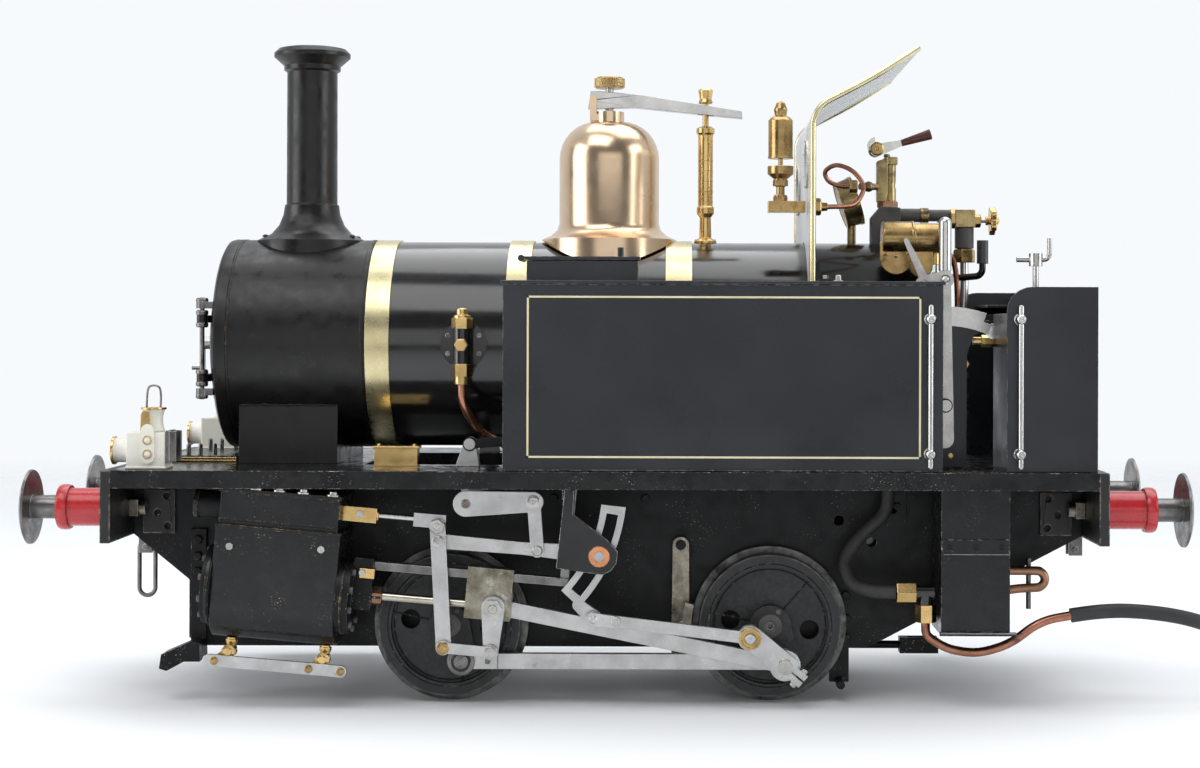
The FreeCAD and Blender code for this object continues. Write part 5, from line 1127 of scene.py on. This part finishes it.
# ---- cylinders and motion -----------------------------------------------------------------------
def cylinder_details():
    """Screws, cover plates and pipe unions of both cylinders, drawn level and then turned to the slope."""
    axis = AXLE_Z
    x0, x1 = -138.0, -95.0
    screws = Kit()
    for x in (-138.6, -128.2, -119.8, -111.2, -100.6):
        screws.lathe([(0, 0), (2.5, 0), (2.5, 0.5), (1.6, 0.6), (1.6, 1.5), (1.2, 1.9), (0, 1.9)],
                     (x, -69.8, axis + 35.2), seg=20)
    for x, z in ((-135.4, axis + 14.6), (-102.8, axis + 16.2)):
        screws.slotted((x, -72.8, z), NEAR, 1.35, 0.9, 0.9 + x)
    screws.slotted((-91.2, -64.9, axis + 29.2), NEAR, 1.35, 0.8, 1.1)
    screws.slotted((-88.2, -67.8, axis + 8.6), NEAR, 1.2, 0.8, 1.7)
    screws.move(SLOPE).mirror().make("cylinder_screws", "bolt")
    cover = Kit()
    cover.box(x0 - 3.1, x1 - 2.3, -71.6, -40.2, axis + 33.6, axis + 35.2)
    cover.box(x0 - 2.7, x1 - 2.7, -71.3, -70.9, axis + 23.6, axis + 24.4)
    cover.box(x0 - 3.3, x1 - 1.2, -73.1, -60.0, axis + 21.2, axis + 22.3)
    cover.move(SLOPE).mirror().make("chest_covers", "cladding", bevel=0.3)
    studs = Kit()
    for k in range(10):
        t = 2 * math.pi * (k + 0.5) / 10
        for x, way, r in ((x1 + 3.4, 1, 11.6), (x0 - 6.2, -1, 12.4)):
            y, z = -61.5 + r * math.cos(t), axis - 1.0 + r * math.sin(t)
            if way < 0 or z < axis + 4.0 or abs(y + 62) > 4.5:
                studs.hexagon((x, y, z), (way, 0, 0), 1.25, 1.2, t)
    studs.move(SLOPE).mirror().make("cover_studs", "casting", bevel=0.08)
    rim = Kit()
    rim.ring(13.3, 13.9, x1 + 0.4, x1 + 1.1, (0, -61.5, axis - 1.0), (1, 0, 0), 72)
    rim.ring(14.3, 14.8, x0 - 4.6, x0 - 3.6, (0, -61.5, axis - 1.0), (1, 0, 0), 72)
    rim.move(SLOPE).mirror().make("cover_rims", "cladding")
    lugs = Kit()
    lugs.box(x1 - 2.7, x1 + 9.8, -64.9, -62.0, axis + 26.2, axis + 31.8)
    lugs.ring(1.2, 2.4, x1 + 9.2, x1 + 10.4, (0, -62.1, axis + 29.0), (1, 0, 0), 32)
    lugs.box(x1 + 5.6, x1 + 11.2, -67.8, -66.0, axis + 6.6, axis + 10.2)
    lugs.move(SLOPE).mirror().make("gland_lugs", "brass", bevel=0.3)
    cocks = Kit()
    for x in (x0 + 4.0, x1 - 5.0):
        cocks.lathe([(0, 0), (2.0, 0), (2.4, 1.2), (1.7, 2.2), (1.7, 3.4), (2.2, 4.4), (2.2, 5.6), (0, 5.6)],
                    (x, -61.1, axis - 25.6), seg=24)
        cocks.lathe([(0, 0), (2.3, 0), (2.5, 0.6), (2.5, 2.0), (1.4, 2.3), (1.4, 3.0), (0, 3.0)],
                    (x, -64.2, axis - 24.0), NEAR, 24)
    cocks.move(SLOPE).mirror().make("drain_cock_bodies", "brass", bevel=0.08)
    cranks = Kit()
    for x in (x0 + 4.0, x1 - 5.0):
        cranks.capsule((x, axis - 24.0), (x - 4.4, axis - 27.4), 1.7, 1.2, -66.3, -65.6)
        cranks.lathe([(0, 0), (1.5, 0), (1.5, 0.4), (0.9, 0.7), (0, 0.7)], (x - 4.4, -68.1, axis - 27.4),
                     NEAR, 20)
    cranks.lathe([(0, 0), (1.5, 0), (1.5, 0.4), (0.9, 0.7), (0, 0.7)], (-92.9, -68.1, axis - 27.4), NEAR, 20)
    cranks.move(SLOPE).mirror().make("drain_cock_levers", "brass_aged", "drain_cock_links", 0.1)
    nut = Kit()
    nut.hexagon((x1 + 10.4, -62.1, axis), (1, 0, 0), 3.6, 3.6, 0.2)
    nut.move(SLOPE).mirror().make("piston_gland_nuts", "gland", bevel=0.12)
    union = Kit()
    union.ring(4.9, 5.4, -12.9, -11.2, (x0, -62.1, axis + 28.0), (1, 0, 0), 40)
    union.move(SLOPE).mirror().make("steam_pipe_collars", "cladding")


def washer(kit, p, y, hand, r, h):
    kit.lathe([(0, 0), (r, 0), (r, 0.55 * h), (0.82 * r, h), (0.3 * r, h), (0.24 * r, 0.7 * h), (0, 0.7 * h)],
              (p[0], hand * y, p[1]), (0, hand, 0), 28)


def motion_details(hand, word, at):
    """Pin heads, nuts and oil holes of one side's motion."""
    crosshead = Kit()
    g = at["gudgeon"]
    crosshead.ring(2.4, 4.0, 67.9, 68.4, (g[0], 0, g[1]), (0, hand, 0), 40)
    crosshead.hexagon((g[0], hand * 68.2, g[1]), (0, hand, 0), 3.0, 2.4, 0.5)
    washer(crosshead, g, 70.4, hand, 1.7, 0.9)
    washer(crosshead, at["drop"], 70.7, hand, 2.2, 0.5)
    crosshead.make(f"{word}_gudgeon_nut", "bolt", f"{word}_crosshead", 0.08)
    lever = Kit()
    lever.hexagon((at["top"][0], hand * 67.9, at["top"][1]), (0, hand, 0), 2.9, 2.0, 0.3)
    washer(lever, at["top"], 69.7, hand, 1.3, 0.6)
    lever.make(f"{word}_lever_nut", "bolt", f"{word}_combination_lever", 0.1)
    union = Kit()
    washer(union, at["foot"], 70.6, hand, 2.3, 0.5)
    union.make(f"{word}_union_pin", "brass_aged", f"{word}_union_link", 0.08)
    rods = Kit()
    front = at["front_pin"]
    rods.lathe([(5.1, 0), (5.1, 0.9), (4.6, 1.2), (3.6, 1.2), (3.6, 0)], (front[0], hand * 55.4, front[1]),
               (0, hand, 0), 40)
    x, z = front[0] + 13.0, front[1]
    rods.box(x, x + 0.5, *sorted((hand * 55.35, hand * 55.6)), z - 2.9, z + 2.9)
    rods.disc(1.1, 0.5, (x - 3.4, hand * 55.4, z), (0, hand, 0), 18)
    rods.make(f"{word}_coupling_knuckle", "steel_dark", f"{word}_coupling_rod", 0.1)
    head = Kit()
    head.slotted((front[0], hand * 57.1, front[1]), (0, hand, 0), 2.6, 0.3, 0.6)
    head.make(f"{word}_front_crank_screw", "steel_dark", "front_wheels")
    clamp = Kit()
    dx, dz = at["pin"][0] - at["ecc"][0], at["pin"][1] - at["ecc"][1]
    n = math.hypot(dx, dz)
    ux, uz = dx / n, dz / n
    base = (at["pin"][0] + 6.3 * ux, at["pin"][1] + 6.3 * uz)
    for s in (-1, 1):
        clamp.lathe([(0, 0), (1.3, 0), (1.3, 1.0), (0.9, 1.4), (0, 1.4)],
                    (base[0] - s * 2.6 * uz, hand * 65.3, base[1] + s * 2.6 * ux), (-s * uz, 0, s * ux), 16)
    clamp.lathe([(0, 0), (2.8, 0), (2.8, 0.3), (2.3, 0.5), (0, 0.5)],
                (at["pin"][0], hand * 66.5, at["pin"][1]),
                (0, hand, 0), 32)
    clamp.make(f"{word}_return_crank_clamp", "bolt", f"{word}_connecting_rod", 0.08)
    ecc = Kit()
    t = at["tail"]
    way = (at["ecc"][0] - t[0], at["ecc"][1] - t[1])
    n = math.hypot(*way)
    q = (t[0] + 7.6 * way[0] / n, t[1] + 7.6 * way[1] / n)
    ecc.capsule((t[0] - 0.3, t[1]), q, 2.5, 2.1, *sorted((hand * 71.9, hand * 72.4)))
    washer(ecc, t, 72.4, hand, 1.4, 0.6)
    washer(ecc, q, 72.4, hand, 1.3, 0.6)
    washer(ecc, at["ecc"], 72.6, hand, 1.9, 0.9)
    ecc.make(f"{word}_link_plate", "steel", f"{word}_eccentric_rod", 0.1)
    bush = Kit()
    bush.ring(1.9, 4.0, 71.0, 72.3, (at["ecc"][0], 0, at["ecc"][1]), (0, hand, 0), 40)
    bush.ring(3.1, 3.9, 72.3, 72.5, (at["ecc"][0], 0, at["ecc"][1]), (0, hand, 0), 40)
    bush.make(f"{word}_eccentric_bush", "brass_aged", f"{word}_eccentric_rod", 0.1)


def pivots(crank_deg):
    """The motion's pins at one crank angle, by the same rule as the frame's own parts."""
    def polar(p, r, degrees):
        return (p[0] + r * math.cos(math.radians(degrees)), p[1] + r * math.sin(math.radians(degrees)))

    def meet(p, rp, q, rq):
        dx, dz = q[0] - p[0], q[1] - p[1]
        d = math.hypot(dx, dz)
        along = (rp * rp - rq * rq + d * d) / (2 * d)
        off = -math.sqrt(rp * rp - along * along)
        return (p[0] + (along * dx - off * dz) / d, p[1] + (along * dz + off * dx) / d)

    slope = math.radians(SLOPE_DEG)
    axle = (REAR_AXLE, AXLE_Z)
    pin = polar(axle, CRANK_R, crank_deg)
    rel = (pin[0] - axle[0], pin[1] - axle[1])
    along = rel[0] * math.cos(slope) - rel[1] * math.sin(slope)
    off = rel[0] * math.sin(slope) + rel[1] * math.cos(slope)
    travel = along - math.sqrt(ROD_LENGTH ** 2 - off ** 2)
    gudgeon = (axle[0] + travel * math.cos(slope), axle[1] - travel * math.sin(slope))
    drop = (gudgeon[0] - 0.8, gudgeon[1] - 15.6)
    hang = (-59.8, 60.6)
    foot = meet(hang, 37.8, drop, 17.0)
    lean = math.atan2(foot[0] - hang[0], hang[1] - foot[1])
    top = (hang[0] - 5.6 * math.sin(lean), hang[1] + 5.6 * math.cos(lean))
    ecc = polar(axle, 8.2, crank_deg - 99.0)
    tail = meet((-2.0, 55.8), 22.4, ecc, 56.4)
    return {"pin": pin, "front_pin": (pin[0] + FRONT_AXLE - REAR_AXLE, pin[1]), "gudgeon": gudgeon,
            "drop": drop, "foot": foot,
            "top": top, "ecc": ecc, "tail": tail}


def shared_motion():
    lift = Kit()
    for hand in (-1, 1):
        washer(lift, (-24.3, 57.4), 67.3, hand, 1.9, 0.7)
    lift.make("lifting_link_pins", "bolt", "radius_rods")
    heads = Kit()
    for hand in (-1, 1):
        washer(heads, (-59.8, 60.6), 68.8, hand, 2.1, 0.5)
    heads.make("radius_rod_pins", "bolt", "radius_rods")
    arm = Kit()
    for hand in (-1, 1):
        washer(arm, (-25.7, 75.1), 70.4, hand, 2.3, 0.5)
    arm.make("lifting_arm_pins", "bolt", "weighshaft")
    dark = Kit()
    for hand in (-1, 1):
        dark.slotted((-49.8, hand * 69.5, 74.4), (0, hand, 0), 1.7, 0.6, 0.5)
    dark.make("weighshaft_screws", "patina", "weighshaft")


def wheel_details(word, x):
    """Tyre edge, scribed joints of the web and pin head of one wheel set."""
    lines = Kit()
    ring = Kit()
    for hand, crank in ((-1, LEFT_CRANK), (1, RIGHT_CRANK)):
        for turn in (-123.0, 118.0, -8.0):
            t = math.radians(crank + turn)
            c, s = math.cos(t), math.sin(t)
            w = 0.28
            lines.prism([(x + 7.9 * c - w * s, AXLE_Z + 7.9 * s + w * c),
                         (x + 21.3 * c - w * s, AXLE_Z + 21.3 * s + w * c),
                         (x + 21.3 * c + w * s, AXLE_Z + 21.3 * s - w * c), (x + 7.9 * c + w * s,
                                                                             AXLE_Z + 7.9 * s - w * c)],
                        *sorted((hand * 48.1, hand * 48.55)))
        lines.ring(20.2, 20.6, 48.1, 48.5, (x, 0, AXLE_Z), (0, hand, 0), 96)
        lines.ring(22.4, 22.8, 50.75, 50.95, (x, 0, AXLE_Z), (0, hand, 0), 96)
        ring.lathe([(2.6, 0), (4.3, 0), (4.3, 0.3), (3.6, 0.6), (2.2, 0.6), (1.6, 0.2)],
                   (x, hand * 51.8, AXLE_Z),
                   (0, hand, 0), 40)
        turn = math.radians(crank + 130.0)
        ring.disc(0.9, 0.5, (x + 6.0 * math.cos(turn), hand * 51.9,
                                                             AXLE_Z + 6.0 * math.sin(turn)), (0, hand, 0), 14)
    lines.make(f"{word}_wheel_joints", "frame", f"{word}_wheels", 0.05)
    ring.make(f"{word}_axle_ends", "casting", f"{word}_wheels", 0.05)


boiler_details()
weatherboard_details()
turret()
handwheel()
cab_details()
tank_lining()
deck_details()
lamps()
cylinder_details()
motion_details(-1, "left", pivots(LEFT_CRANK))
motion_details(1, "right", pivots(RIGHT_CRANK))
shared_motion()
wheel_details("rear", REAR_AXLE)
wheel_details("front", FRONT_AXLE)


# ---- floor, light -------------------------------------------------------------------------------
def make_floor():
    kit = Kit()
    kit.prism([(-6000, -6000), (6000, -6000), (6000, 6000), (-6000, 6000)], -4.0, 0.0, "z")
    mesh = kit.mesh("floor")
    floor = bpy.data.objects.new("floor", mesh)
    scene.collection.objects.link(floor)
    n = Nodes("floor")
    n.put(n.bsdf.inputs["Base Color"], n.mix(n.noise(2.0, 2.0), (0.85, 0.87, 0.885), (0.88, 0.895, 0.91)))
    n.bsdf.inputs["Roughness"].default_value = 0.6
    away = n.add("ShaderNodeVectorMath", operation="LENGTH")
    n.put(away.inputs[0], n.place)
    clear = n.add("ShaderNodeBsdfTransparent")
    fade = n.add("ShaderNodeMixShader")
    n.put(fade.inputs[0], n.remap(away.outputs["Value"], 0.35, 1.5))
    n.put(fade.inputs[1], n.bsdf.outputs[0])
    n.put(fade.inputs[2], clear.outputs[0])
    n.put(n.out.inputs[0], fade.outputs[0])
    mesh.materials.append(n.mat)


def make_light(name, spot, size, watts, aim=(0.0, 0.0, 0.1), tint=(1.0, 1.0, 1.0)):
    data = bpy.data.lights.new(name, "AREA")
    data.shape = "RECTANGLE"
    data.size, data.size_y = size
    data.energy = watts
    data.color = tint
    lamp = bpy.data.objects.new(name, data)
    lamp.location = spot
    lamp.rotation_euler = (Vector(aim) - Vector(spot)).to_track_quat("-Z", "Y").to_euler()
    scene.collection.objects.link(lamp)


def make_world():
    world = bpy.data.worlds.new("studio")
    world.use_nodes = True
    scene.world = world
    tree = world.node_tree
    tree.nodes.clear()
    out = tree.nodes.new("ShaderNodeOutputWorld")
    back = tree.nodes.new("ShaderNodeBackground")
    coord = tree.nodes.new("ShaderNodeTexCoord")
    split = tree.nodes.new("ShaderNodeSeparateXYZ")
    ramp = tree.nodes.new("ShaderNodeMapRange")
    tint = tree.nodes.new("ShaderNodeMix")
    tint.data_type = "RGBA"
    shown = tree.nodes.new("ShaderNodeMix")
    shown.data_type = "RGBA"
    rays = tree.nodes.new("ShaderNodeLightPath")
    tree.links.new(coord.outputs["Generated"], split.inputs[0])
    tree.links.new(split.outputs[1], ramp.inputs[0])
    ramp.inputs[1].default_value = -0.6
    ramp.inputs[2].default_value = 0.6
    tint.inputs[6].default_value = (0.16, 0.168, 0.18, 1.0)
    tint.inputs[7].default_value = (0.80, 0.84, 0.88, 1.0)
    tree.links.new(ramp.outputs[0], tint.inputs[0])
    shown.inputs[7].default_value = (0.93, 0.955, 0.985, 1.0)
    tree.links.new(rays.outputs["Is Camera Ray"], shown.inputs[0])
    tree.links.new(tint.outputs[2], shown.inputs[6])
    tree.links.new(shown.outputs[2], back.inputs[0])
    back.inputs[1].default_value = 1.0
    tree.links.new(back.outputs[0], out.inputs[0])


make_floor()
make_world()
make_light("key", (-0.5, -0.9, 1.5), (1.4, 0.9), 11.0)
make_light("top", (0.2, 0.3, 1.5), (1.8, 1.2), 16.0)
make_light("left", (-1.5, -0.5, 0.5), (0.9, 1.2), 12.0)
make_light("right", (1.6, -0.6, 0.6), (0.9, 1.2), 12.0)
make_light("front", (0.1, -1.6, 0.35), (1.6, 0.5), 2.5)
scene.view_settings.view_transform = "Standard"
